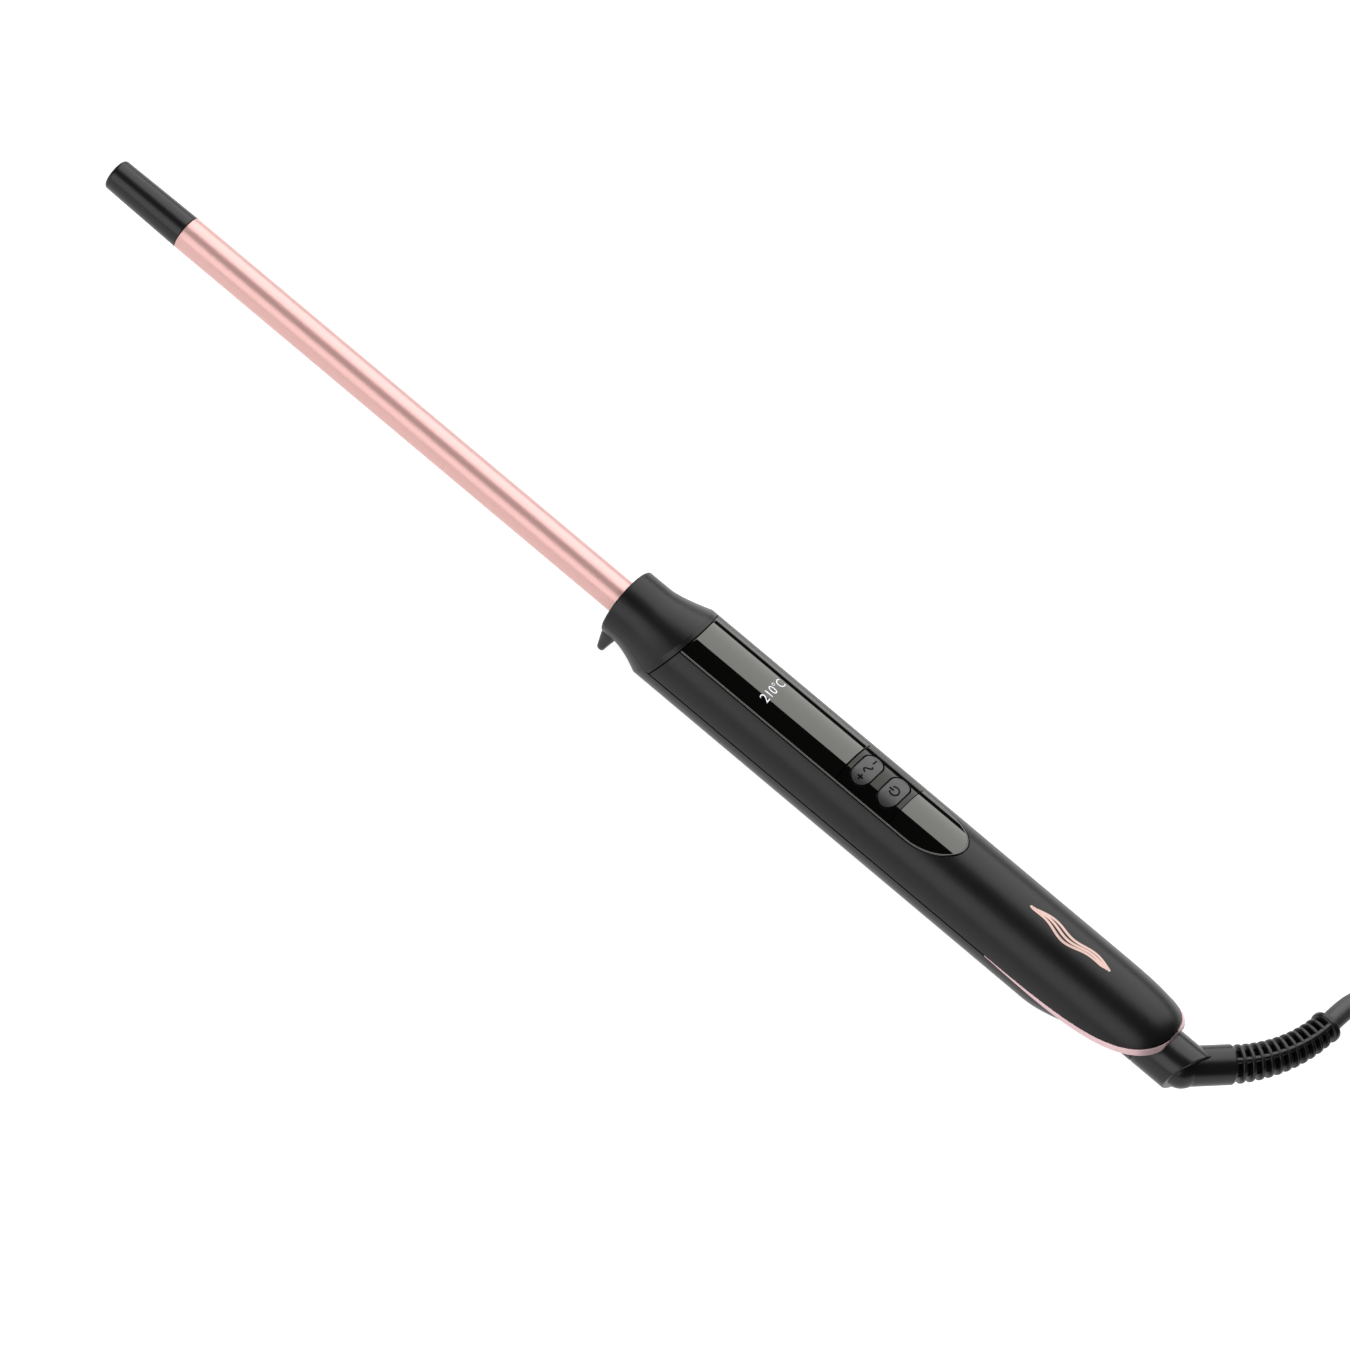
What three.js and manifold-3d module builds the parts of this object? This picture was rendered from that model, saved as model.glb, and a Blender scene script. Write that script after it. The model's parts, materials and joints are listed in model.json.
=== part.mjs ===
// Curling wand with a 10 mm barrel, a digital control panel and a swivelling mains cord.
// Millimetres. +X runs from the cool tip to the rear, +Y to the side where the cord lies, +Z up.
// The wand lies on its handle and its two short legs, and the surface under it is z = 0.

import * as THREE from "three";
import { mergeVertices } from "three/addons/utils/BufferGeometryUtils.js";
import Module from "manifold-3d";

const wasm = await Module();
wasm.setup();

// ---- Driving dimensions: lengths along the wand are counted from the nose's front face ----

const fit = 0.3; // gap between pieces that touch
const runFit = 0.35; // radial gap between the pieces that turn
const roundSides = 32; // facets round the handle, in fours so that one corner line is at the bottom

const barrelRadius = 5;
const barrelWall = 0.8;
const barrelLength = 158; // showing, from the nose to the seam with the tip
const barrelRoot = 20; // held in the nose

const tipLength = 26;
const tipSeamRadius = 5;
const tipEndRadius = 4.65;
const tipEdge = 1.2;
const tipSpigotLength = 10;

const heaterThickness = 1.2;
const heaterInset = 12; // from the tip's spigot to the heater
const heaterEndInset = 16; // from the heater's end to the barrel's rear end
const spreaderEndInset = 28;
const sensorRadius = 0.8;
const sensorLength = 3.5;
const fuseRadius = 1.4;
const fuseLength = 8;

const handleRadius = 13.2;
const shellWall = 2.4;
const noseRadius = 10.2;
const noseWall = 2.1;
const noseEdge = 0.8;
const noseStraight = 7;
const noseFlareEnd = 17; // where the flare meets the handle's radius, on the parting line
const flareLean = 0.45; // how far the flare's end leans back for each mm of height
const seamStart = 19; // where the nose meets the upper housing, on the parting line
const seamLean = 0.356;
const insulatorFlange = 1.2;
const insulatorFlangeAt = 10;
const insulatorFlangeWidth = 2.4;

const handleLength = 192; // from the nose's front face to the rear of the trim band
const backRounding = 32; // length over which the back rounds off
const backReach = 33; // half-axis of the blunt oval that rounds it
const backBluntness = 4; // power of that oval, where 2 is an ellipse
const rimLength = 55; // the trim band's length, from where it leaves the parting line
const rimSpan = 55; // length over which it rises to clear the swivel
const rimAbove = 1.95; // from the swivel's drum up to the band's upper edge at its rear
const rimPower = 2.84;
const bandWidth = 1.5;
const bandGrowth = 33;
const bandTip = 9; // the first stretch, where the band is too thin to be a solid
const bandThickness = 1.2;

const bellyTaper = 29; // length over which the lower housing narrows to the neck
const neckLength = 4;
const neckInset = 7; // from the neck's end to the rear of the trim band
const neckRadius = 7.5;
const neckWall = 1.2;

const legHeightAbove = 4; // where a leg leaves the nose, below the wand's axis
const legSpread = 7.8;
const legWidth = 2.4;

const panelHalfWidth = 8;
const lensThickness = 1.3;
const frontLensEnd = 77.5;
const bezelEnd = 96.4;
const panelApex = 116.5;
const panelRound = 14; // length of the panel's half-elliptical end

const buttonLength = 6.5; // along the wand
const buttonSpan = 11.4; // across it
const buttonProud = 0.25;
const buttonLip = 0.8; // how far the cap's hidden flange reaches past the pill
const buttonFlange = 1;
const tempButtonAt = 82.2;
const powerButtonAt = 91.6;
const switchSize = 6;
const switchHeight = 3.3;
const plungerRadius = 1.7;
const plungerReach = 1.4;
const plungerDepth = 1.9;

const displayStart = 41;
const displayEnd = 57;
const displayHalf = 5.2;

const boardStart = 33;
const boardGap = 4; // from the board's end to the rear screw
const boardThickness = 1.6;
const boardMargin = 2;
const boardRibs = [60, 126];
const ribThickness = 1.6;
const triacLength = 14;
const capacitorLength = 11;
const capacitorRadius = 3.1;
const connectorLength = 7;
const boardPartGap = 4; // between the parts on the board

const frontScrews = [27, 101];
const rearScrewInset = 40; // from the rear screw to the rear of the trim band
const screwHeadRadius = 2.4;
const screwHeadHeight = 1.6;
const screwShankRadius = 1.25;
const screwLength = 14.5;
const bossRadius = 3;
const bossFloor = 0.8;

const swivelRadius = 7.35;
const swivelLength = 14; // to the middle of its slanted end face
const swivelEndLean = [0.354, 0.111]; // how far that face leans back, sideways and upwards
const spindleRadius = 3;
const spindleLength = 28; // ahead of the neck's end
const spindleGrip = 5; // how far the spindle enters the elbow
const clipInset = 15.8; // ahead of the neck's end
const clipThickness = 0.9;
const clipRadius = 4.6;
const clipGroove = 0.7;
const ringThickness = 0.9;
const ringWidth = 2.5;
const ringInsets = [26.2, 20.8]; // ahead of the neck's end
const contactThickness = 0.5;

const knuckleRadius = 5.9; // the ball in the end face that the branch grows from
const branchRadius = 5.5;
const branchInset = 2.5; // from the branch's start on the axis to the end face
const branchLength = 13.9;
const branchHeading = 50; // degrees from +X towards +Y
const reliefEndHeading = 90;
const reliefLength = 32.5;
const reliefStartRadius = 5.4;
const reliefEndRadius = 4.3;
const reliefCore = 3.6; // radius of the core under the ribs
const reliefRibs = 11;
const reliefRibShare = 0.5;

const cordRadius = 3;
const hankCentre = [310, 46];
const hankRun = 96;
const foldRadius = 18;
const hankLanes = 2;
const hankHeight = 25;
const waistShift = 15;
const tieWidth = 8;
const tieThickness = 1.2;

const plugLength = 35;
const plugWidth = 25;
const plugThickness = 14;
const plugStart = 318;
const pinRadius = 2;
const pinLength = 19;
const pinSpacing = 18.6;

// The cord's free stretch, from the strain relief down to the surface and on to the hank.
const leadPoints = [
  [212.62, 40.9, 13.2],
  [212.7, 45.8, 13.1],
  [213.2, 51.2, 12.5],
  [214.7, 56.6, 11.2],
  [217.5, 61.4, 9.4],
  [221.9, 65.4, 7.3],
  [228, 68.2, 5.4],
  [235.4, 69.7, 3.9],
  [244, 70, 3.1],
  [253.5, 70, 3],
  [263, 70, 3],
];

// The cord's end, which climbs from the hank's top layer to the plug that lies on it.
const tailPoints = [
  [262, 64, 21],
  [271, 62.4, 22.4],
  [281, 58, 25.6],
  [291, 52.6, 29.4],
  [301, 48.4, 31.8],
  [310, 46.4, 32.5],
  [317.7, 46, 32.6],
];

// ---- Sizes that follow from the ones above ----

const backStart = handleLength - backRounding;
const rimStart = handleLength - rimLength;
const bandStart = rimStart + bandTip;
const neckEnd = handleLength - neckInset;
const neckStart = neckEnd - neckLength;
const bellyEnd = neckStart - bellyTaper;
const screwPlaces = [...frontScrews, handleLength - rearScrewInset];
const boardEnd = handleLength - rearScrewInset - boardGap;
const connectorStart = boardEnd - connectorLength - 1.5;
const capacitorStart = connectorStart - boardPartGap - capacitorLength;
const triacStart = capacitorStart - boardPartGap - triacLength;
const clipAt = neckEnd - clipInset;
const ringPlaces = ringInsets.map((inset) => neckEnd - inset);
const shellInner = handleRadius - shellWall;
const noseBore = noseRadius - noseWall;
const barrelBore = barrelRadius - barrelWall;
const heaterStart = tipSpigotLength + heaterInset - barrelLength;
const spreaderRadius = barrelBore - fit;
const lensInner = handleRadius - lensThickness;
const pocketRadius = lensInner - fit;
const flangeHalfSpan = buttonSpan / 2 + buttonLip;
const flangeTop = Math.sqrt(lensInner ** 2 - flangeHalfSpan ** 2) - fit;
const flangeBottom = flangeTop - buttonFlange;
const plungerTop = flangeBottom - fit;
const switchTop = plungerTop - plungerReach;
const boardTop = switchTop - switchHeight - fit;
const boardHalf = Math.sqrt(shellInner ** 2 - boardTop ** 2) - boardMargin;
const screwSeat = bossFloor - shellInner;
const swivelStart = neckEnd + fit;
const swivelEnd = swivelStart + swivelLength;
const bushOuter = neckRadius - neckWall - fit;
const bushInner = spindleRadius + runFit;
const bandInnerEnd = swivelRadius + 0.5;
const rimRise = swivelRadius + rimAbove;
const foldOuter = foldRadius + 2 * cordRadius * (hankLanes - 1) + cordRadius;
const axisShift = -(handleLength - barrelLength - tipLength) / 2;

// ---- Materials ----

function finish(color, roughness, metalness = 0) {
  return new THREE.MeshStandardMaterial({ color, roughness, metalness });
}

const roseMetal = finish(0xdca39b, 0.32, 1);
const softBlack = finish(0x262626, 0.55);
const gloss = finish(0x0b0b0b, 0.08);
const cordBlack = finish(0x1c1c1c, 0.5);
const steel = finish(0x9a9a98, 0.35, 1);
const brass = finish(0xc9a654, 0.35, 1);
const aluminium = finish(0xb9bcc0, 0.4, 1);
const ceramic = finish(0xe8e2d6, 0.6);
const boardGreen = finish(0x1f5a3a, 0.5);
const partBlack = finish(0x1a1a1a, 0.45);
const redLead = finish(0xa8322c, 0.5);
const blueLead = finish(0x2f5f9e, 0.5);

// ---- Solids ----

function solid(geometry) {
  geometry.deleteAttribute("normal");
  geometry.deleteAttribute("uv");
  const merged = mergeVertices(geometry, 1e-4);
  return new wasm.Manifold(
    new wasm.Mesh({
      numProp: 3,
      vertProperties: merged.attributes.position.array,
      triVerts: new Uint32Array(merged.index.array),
    }),
  );
}

function geometryOf(made) {
  const mesh = made.getMesh();
  const geometry = new THREE.BufferGeometry();
  geometry.setAttribute("position", new THREE.BufferAttribute(mesh.vertProperties, 3));
  geometry.setIndex(new THREE.BufferAttribute(mesh.triVerts, 1));
  geometry.computeVertexNormals();
  return geometry;
}

// A solid of revolution about the wand's axis, from a closed outline of [along, radius] corners.
function turned(outline, sides = roundSides) {
  const points = [...outline, outline[0]].map(([along, radius]) => new THREE.Vector2(radius, along));
  return solid(new THREE.LatheGeometry(points, sides).rotateZ(-Math.PI / 2));
}

function rod(from, to, radius, sides = roundSides) {
  return turned([[from, 0], [from, radius], [to, radius], [to, 0]], sides);
}

function ring(from, to, inner, outer, sides = roundSides) {
  return turned([[from, inner], [from, outer], [to, outer], [to, inner]], sides);
}

function outlineShape(points) {
  return new THREE.Shape(points.map(([a, b]) => new THREE.Vector2(a, b)));
}

// A side-view outline of [along, height] corners, carried across the wand.
function acrossPrism(points, from, to) {
  const geometry = new THREE.ExtrudeGeometry(outlineShape(points), { depth: to - from, bevelEnabled: false });
  return solid(geometry.rotateX(Math.PI / 2).translate(0, to, 0));
}

// A top-view shape, carried upwards.
function upPrism(shape, from, to, curveSegments = 5) {
  const geometry = new THREE.ExtrudeGeometry(shape, { depth: to - from, bevelEnabled: false, curveSegments });
  return solid(geometry.translate(0, 0, from));
}

function block(x0, x1, y0, y1, z0, z1) {
  const geometry = new THREE.BoxGeometry(x1 - x0, y1 - y0, z1 - z0);
  return solid(geometry.translate((x0 + x1) / 2, (y0 + y1) / 2, (z0 + z1) / 2));
}

function post(x, y, from, to, radius, sides = 16) {
  const geometry = new THREE.CylinderGeometry(radius, radius, to - from, sides);
  return solid(geometry.rotateX(Math.PI / 2).translate(x, y, (from + to) / 2));
}

// A tube of round section along points that are joined by a smooth curve.
function tube(points, radius, steps, sides = 8) {
  const section = new THREE.Shape();
  section.absarc(0, 0, radius, 0, 2 * Math.PI);
  const extrudePath = new THREE.CatmullRomCurve3(points.map((p) => new THREE.Vector3(...p)));
  return solid(
    new THREE.ExtrudeGeometry(section, { steps, bevelEnabled: false, curveSegments: sides / 2, extrudePath }),
  );
}

function curveSteps(from, to, count) {
  return Array.from({ length: count + 1 }, (_, i) => from + ((to - from) * i) / count);
}

// ---- The handle's curves ----

// Radius of the handle's back, which rounds off like a blunt oval.
function backRadius(along) {
  const past = Math.max(0, along - backStart) / backReach;
  return handleRadius * (1 - past ** backBluntness) ** (1 / backBluntness);
}

// Radius of the lower housing's underside, which narrows to the swivel's neck.
function bellyRadius(along) {
  const share = THREE.MathUtils.smoothstep(along, bellyEnd, neckStart);
  return handleRadius + (neckRadius - handleRadius) * share;
}

// Height of the trim band's upper edge above the parting line.
function rimHeight(along) {
  return rimRise * (Math.max(0, along - rimStart) / rimSpan) ** rimPower;
}

function bandDepth(along) {
  const grown = THREE.MathUtils.clamp((along - rimStart) / bandGrowth, 0, 1);
  return bandWidth * Math.sin((grown * Math.PI) / 2);
}

const seamAt = (height) => seamStart + seamLean * height;
const backSteps = curveSteps(0, 1, 8).map((t) => backStart + (backRounding + 0.6) * (1 - (1 - t) ** 2));
const bandSteps = [
  ...curveSteps(bandStart, backStart, 4),
  ...curveSteps(backStart, neckEnd, 5).slice(1),
  ...curveSteps(neckEnd, handleLength, 4).slice(1),
];
const rimSteps = [rimStart, (rimStart + bandStart) / 2, ...bandSteps, handleLength + 2];

// The flare leans back with height, from the end of the nose's straight part on.
function leanFlare(geometry) {
  const at = geometry.attributes.position;
  for (let i = 0; i < at.count; i++) {
    const along = at.getX(i);
    const share = THREE.MathUtils.clamp((along - noseStraight) / (noseFlareEnd - noseStraight), 0, 1);
    const fade = THREE.MathUtils.clamp((seamStart + 20 - along) / 20, 0, 1);
    at.setX(i, along + flareLean * at.getZ(i) * share * fade);
  }
  return geometry;
}

function handleOutline(radiusAt, end) {
  const flare = curveSteps(0, 1, 6).map((t) => [
    noseStraight + (noseFlareEnd - noseStraight) * t,
    noseRadius + (handleRadius - noseRadius) * (1 - Math.cos((t * Math.PI) / 2)),
  ]);
  const rear = end.map((along) => [along, radiusAt(along)]);
  const last = end[end.length - 1];
  return [[0, 0], [0, noseRadius - noseEdge], [noseEdge * 0.3, noseRadius - noseEdge * 0.3],
    [noseEdge, noseRadius], ...flare, [seamStart + 21, handleRadius], ...rear, [last, 0]];
}

function handleBlank(radiusAt, end) {
  const points = handleOutline(radiusAt, end).map(([along, radius]) => new THREE.Vector2(radius, along));
  const geometry = new THREE.LatheGeometry([...points, points[0]], roundSides).rotateZ(-Math.PI / 2);
  return solid(leanFlare(geometry));
}

// The room inside the handle: barrel hole, insulator seat, then the wide part and its end.
function handleRoom(rear) {
  const grooveEnd = insulatorFlangeAt + insulatorFlangeWidth + fit;
  const grooveRadius = noseBore + insulatorFlange;
  return turned([
    [-1, 0], [-1, barrelRadius + fit], [noseWall, barrelRadius + fit], [noseWall, noseBore],
    [insulatorFlangeAt - fit, noseBore], [insulatorFlangeAt - fit, grooveRadius],
    [grooveEnd, grooveRadius], [grooveEnd, noseBore],
    [noseFlareEnd - 1, noseBore], [seamStart + 4, shellInner], ...rear,
    [rear[rear.length - 1][0], 0],
  ]);
}

// What the swivel's drum needs under the visor and the trim band to turn freely.
function swivelRoom() {
  return rod(neckEnd, handleLength + 1, swivelRadius + runFit);
}

// ---- Barrel ----

function barrelTube() {
  return ring(-barrelLength, barrelRoot, barrelBore, barrelRadius, 32);
}

function coolTip() {
  const seam = -barrelLength - fit;
  const end = seam + fit - tipLength;
  const spigot = barrelBore - fit;
  return turned([
    [end, 0], [end, tipEndRadius - tipEdge], [end + tipEdge * 0.3, tipEndRadius - tipEdge * 0.3],
    [end + tipEdge, tipEndRadius], [seam, tipSeamRadius], [seam, spigot],
    [seam + tipSpigotLength, spigot], [seam + tipSpigotLength, 0],
  ], 32);
}

function heaterElement() {
  const half = Math.sqrt(spreaderRadius ** 2 - heaterThickness ** 2) - fit;
  const end = barrelRoot - heaterEndInset;
  return block(heaterStart, end, -half, half, -heaterThickness / 2, heaterThickness / 2);
}

function heaterSpreader(side) {
  const end = barrelRoot - spreaderEndInset;
  const seat = heaterThickness / 2 + fit;
  const bar = rod(heaterStart, end, spreaderRadius, 24);
  const low = side > 0 ? seat : -barrelRadius;
  const high = side > 0 ? barrelRadius : -seat;
  return bar.intersect(block(heaterStart - 1, end + 1, -barrelRadius, barrelRadius, low, high));
}

function temperatureSensor() {
  const end = barrelRoot - 22;
  const height = heaterThickness / 2 + fit + sensorRadius;
  return rod(end - sensorLength, end, sensorRadius, 12).translate([0, 0, height]);
}

function thermalFuse() {
  const end = barrelRoot - 2;
  const drop = heaterThickness / 2 + fit + fuseRadius;
  return rod(end - fuseLength, end, fuseRadius, 12).translate([0, 0, -drop]);
}

function barrelInsulator() {
  const inner = barrelRadius + fit;
  const outer = noseBore - fit;
  const flangeStart = insulatorFlangeAt;
  const flangeEnd = insulatorFlangeAt + insulatorFlangeWidth;
  const flangeOuter = noseBore + insulatorFlange - fit;
  const front = noseWall + fit;
  return turned([
    [front, inner], [front, outer], [flangeStart, outer], [flangeStart, flangeOuter],
    [flangeEnd, flangeOuter], [flangeEnd, outer], [noseFlareEnd - 2, outer], [noseFlareEnd - 2, inner],
  ], 32);
}

// ---- Housings ----

function backRoom() {
  const rear = backSteps.map((a) => [a, backRadius(a) - shellWall]);
  return handleRoom(rear);
}

function bellyRoom() {
  const steps = curveSteps(bellyEnd, neckStart, 6);
  const rear = steps.map((a) => [a, Math.max(bellyRadius(a) - shellWall * 0.8, neckRadius - neckWall)]);
  return handleRoom([...rear, [neckEnd + 2, neckRadius - neckWall]]);
}

function noseCover() {
  const half = fit / 2;
  const side = [[-1, half], [seamAt(half), half], [seamAt(handleRadius + 1), handleRadius + 1],
    [-1, handleRadius + 1]];
  const keep = acrossPrism(side, -handleRadius - 1, handleRadius + 1);
  return handleBlank(backRadius, backSteps).intersect(keep).subtract(backRoom());
}

function panelShape(grow) {
  const half = panelHalfWidth + grow;
  const shape = new THREE.Shape();
  shape.moveTo(0, -half);
  shape.lineTo(panelApex - panelRound, -half);
  shape.absellipse(panelApex - panelRound, 0, panelRound + grow, half, -Math.PI / 2, Math.PI / 2);
  shape.lineTo(0, half);
  return shape;
}

function pillShape(at, grow) {
  const radius = buttonLength / 2 + grow;
  const reach = (buttonSpan - buttonLength) / 2;
  const shape = new THREE.Shape();
  shape.absarc(at, reach, radius, 0, Math.PI);
  shape.absarc(at, -reach, radius, Math.PI, 2 * Math.PI);
  return shape;
}

function screwBoss(at) {
  return post(at, 0, fit + 0.2, pocketRadius - 0.2, bossRadius - 0.2);
}

function upperHousing() {
  const half = fit / 2;
  const top = handleRadius + 1;
  const edge = rimSteps.map((a) => [a, half + rimHeight(a)]).filter(([, z]) => z < top);
  const side = [[seamAt(half) + fit, half], ...edge, [handleLength + 3, top], [seamAt(top) + fit, top]];
  const keep = acrossPrism(side, -top, top);
  let shell = handleBlank(backRadius, backSteps).subtract(backRoom()).intersect(keep);
  shell = shell.subtract(swivelRoom());
  for (const at of screwPlaces) shell = shell.add(screwBoss(at));
  const groove = upPrism(panelShape(fit), 0, top).subtract(rod(-1, handleLength, pocketRadius));
  shell = shell.subtract(groove);
  const window = displayHalf + 2 * fit;
  shell = shell.subtract(
    block(displayStart - 2 * fit, displayEnd + 2 * fit, -window, window, boardTop, top),
  );
  for (const at of [tempButtonAt, powerButtonAt])
    shell = shell.subtract(upPrism(pillShape(at, buttonLip + fit), boardTop, top));
  for (const at of screwPlaces)
    shell = shell.subtract(post(at, 0, -1, screwSeat + screwLength + 0.6, screwShankRadius + fit, 12));
  return shell;
}

function legs() {
  const foot = -handleRadius;
  const side = [[0.1, -legHeightAbove], [0.1, -noseRadius * 0.66], [0.8, foot], [2.8, foot],
    [5, -legHeightAbove - 1], [5, -legHeightAbove]];
  return [-1, 1].map((hand) =>
    acrossPrism(side, hand * legSpread - legWidth / 2, hand * legSpread + legWidth / 2),
  );
}

function lowerHousing() {
  const half = fit / 2;
  const low = -handleRadius - 1;
  const edge = bandSteps
    .filter((a) => a <= neckEnd)
    .map((a) => [a, rimHeight(a) - bandDepth(a) - half]);
  const side = [[-1, low], [-1, -half], [bandStart - 1, -half], ...edge, [neckEnd, low]];
  const keep = acrossPrism(side, -handleRadius - 1, handleRadius + 1);
  const outside = handleBlank(bellyRadius, [...curveSteps(bellyEnd, neckStart, 10), neckEnd + 1]);
  const room = bellyRoom();
  let shell = outside;
  for (const leg of legs()) shell = shell.add(leg);
  shell = shell.subtract(room).intersect(keep);
  const ribHalf = boardHalf - 1;
  const ribTop = boardTop - boardThickness - fit;
  for (const at of boardRibs)
    shell = shell.add(
      block(at, at + ribThickness, -ribHalf, ribHalf, -handleRadius, ribTop).intersect(outside),
    );
  for (const at of screwPlaces)
    shell = shell.add(post(at, 0, low, -fit - 0.2, bossRadius).intersect(outside));
  for (const at of screwPlaces) {
    shell = shell.subtract(post(at, 0, low, screwSeat, screwHeadRadius + fit));
    shell = shell.subtract(post(at, 0, low, 1, screwShankRadius + fit, 12));
  }
  return shell;
}

function trimBand() {
  const half = fit / 2;
  const above = bandSteps.map((a) => [a, rimHeight(a) - half]);
  const below = bandSteps.map((a) => [a, rimHeight(a) - bandDepth(a) + half]);
  const keep = acrossPrism([...below, ...above.reverse()], -handleRadius, handleRadius);
  const outer = bandSteps.map((a) => [a, backRadius(a)]);
  const inner = bandSteps.map((a) => [
    a,
    Math.min(backRadius(a) - bandThickness / 2, Math.max(bellyRadius(a) + fit, bandInnerEnd)),
  ]);
  return turned([...outer, ...inner.reverse()]).intersect(keep).subtract(swivelRoom());
}

// ---- Control panel ----

function panelSlice(from, to, leaning) {
  const top = handleRadius + 1;
  const seam = leaning ? seamAt(top) - seamAt(0) : 0;
  const keep = acrossPrism([[from, 0], [to, 0], [to, top], [from + seam, top]], -top, top);
  const skin = ring(0, panelApex + 1, lensInner, handleRadius);
  return upPrism(panelShape(0), 1, top).intersect(skin).intersect(keep);
}

function buttonBezel() {
  let plate = panelSlice(frontLensEnd + fit, bezelEnd - fit, false);
  for (const at of [tempButtonAt, powerButtonAt])
    plate = plate.subtract(upPrism(pillShape(at, fit), 1, handleRadius + 1));
  return plate;
}

function buttonCap(at) {
  const crown = rod(at - buttonLength, at + buttonLength, handleRadius + buttonProud);
  const pill = upPrism(pillShape(at, 0), flangeBottom, handleRadius + 1).intersect(crown);
  return pill.add(upPrism(pillShape(at, buttonLip), flangeBottom, flangeTop));
}

function switchBody(at) {
  const half = switchSize / 2;
  const body = block(at - half, at + half, -half, half, boardTop + fit, switchTop);
  return body.subtract(post(at, 0, switchTop - plungerDepth - 0.8, switchTop + 1, plungerRadius + fit));
}

function plunger(at) {
  return post(at, 0, switchTop - plungerDepth + 0.1, plungerTop, plungerRadius);
}

function displayModule() {
  const top = Math.sqrt(lensInner ** 2 - displayHalf ** 2) - 2 * fit;
  return block(displayStart, displayEnd, -displayHalf, displayHalf, boardTop + fit, top);
}

// ---- Electronics ----

function controlBoard() {
  let board = block(boardStart, boardEnd, -boardHalf, boardHalf, boardTop - boardThickness, boardTop);
  for (const at of screwPlaces.filter((a) => a > boardStart && a < boardEnd))
    board = board.subtract(post(at, 0, boardTop - boardThickness - 1, boardTop + 1, bossRadius + fit));
  return board;
}

function boardBlock(from, length, half, height) {
  return block(from, from + length, -half, half, boardTop + fit, boardTop + fit + height);
}

function lyingCan(from, length, radius) {
  return rod(from, from + length, radius, 16).translate([0, 0, boardTop + fit + radius]);
}

function pinScrew(at) {
  const head = post(at, 0, screwSeat - fit - screwHeadHeight, screwSeat - fit, screwHeadRadius);
  return head.add(post(at, 0, screwSeat - fit - 0.5, screwSeat + screwLength, screwShankRadius, 12));
}

// ---- Swivel ----

function swivelSpindle() {
  const start = neckEnd - spindleLength;
  const grooveRadius = spindleRadius - clipGroove;
  const clipEnd = clipAt + clipThickness + fit;
  return turned([
    [start, 0], [start, spindleRadius], [clipAt - fit, spindleRadius],
    [clipAt - fit, grooveRadius], [clipEnd, grooveRadius], [clipEnd, spindleRadius],
    [swivelStart + spindleGrip, spindleRadius], [swivelStart + spindleGrip, 0],
  ], 24);
}

function swivelBush() {
  return ring(clipAt + clipThickness + 2 * fit, neckEnd - fit, bushInner, bushOuter, 24);
}

function retainingClip() {
  const inner = spindleRadius - clipGroove + fit;
  const mouth = block(clipAt - 1, clipAt + clipThickness + 1, -inner * 0.8, inner * 0.8, 0, clipRadius + 1);
  return ring(clipAt, clipAt + clipThickness, inner, clipRadius, 24).subtract(mouth);
}

function slipRing(at) {
  const inner = spindleRadius + fit;
  return ring(at, at + ringWidth, inner, inner + ringThickness, 24);
}

function contactFinger(at) {
  const rub = -(spindleRadius + fit + ringThickness + fit);
  const plate = block(at + 0.3, at + ringWidth - 0.3, -3, 3, rub - contactThickness, rub);
  return plate.add(block(at + 0.3, at + ringWidth - 0.3, 3 - contactThickness, 3, rub - 3, rub));
}

// A point on the centre line of the branch and its relief, by its distance from the swivel's end.
function reliefPoint(distance) {
  const start = THREE.MathUtils.degToRad(branchHeading);
  const turn = THREE.MathUtils.degToRad(reliefEndHeading - branchHeading);
  const bend = reliefLength / turn;
  const straight = Math.min(distance, branchLength);
  const heading = start + Math.max(0, distance - branchLength) / bend;
  const begin = swivelEnd - branchInset;
  const x = begin + straight * Math.cos(start) + bend * (Math.sin(heading) - Math.sin(start));
  const y = straight * Math.sin(start) - bend * (Math.cos(heading) - Math.cos(start));
  return { x, y, heading };
}

// A short round disc or cone that is centred on the relief's centre line.
function reliefDisc(from, to, startRadius, endRadius, sides = 12) {
  const middle = reliefPoint((from + to) / 2);
  const geometry = new THREE.CylinderGeometry(endRadius, startRadius, to - from, sides);
  geometry.rotateZ(middle.heading - Math.PI / 2);
  return solid(geometry.translate(middle.x, middle.y, 0));
}

// The drum that turns on the neck, cut off by its slanted end face.
function swivelDrum() {
  const [side, top] = swivelEndLean;
  const long = rod(swivelStart, swivelEnd + swivelRadius, swivelRadius);
  return long.trimByPlane([-1, side, top], -swivelEnd / Math.hypot(1, side, top));
}

function elbowRelief() {
  const end = branchLength + reliefLength;
  const centreLine = curveSteps(branchLength - 1, end - 0.5, 8).map(reliefPoint);
  const core = tube(centreLine.map(({ x, y }) => [x, y, 0]), reliefCore, 8);
  const branch = reliefDisc(0, branchLength, branchRadius, branchRadius, 24);
  const knuckle = solid(new THREE.SphereGeometry(knuckleRadius, 24, 12).translate(reliefPoint(0).x, 0, 0));
  let body = swivelDrum().add(knuckle).add(branch).add(core);
  const pitch = reliefLength / reliefRibs;
  const radiusAt = (d) =>
    reliefStartRadius + ((reliefEndRadius - reliefStartRadius) * (d - branchLength)) / reliefLength;
  for (let i = 1; i <= reliefRibs; i++) {
    const to = branchLength + i * pitch;
    const from = to - pitch * reliefRibShare;
    body = body.add(reliefDisc(from, to, radiusAt(from), radiusAt(to)));
  }
  const reach = swivelStart + spindleGrip + fit;
  return body.subtract(rod(swivelStart - 1, reach, spindleRadius + fit, 24));
}

// ---- Cord, hank and plug, placed in the part's own frame ----

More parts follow.
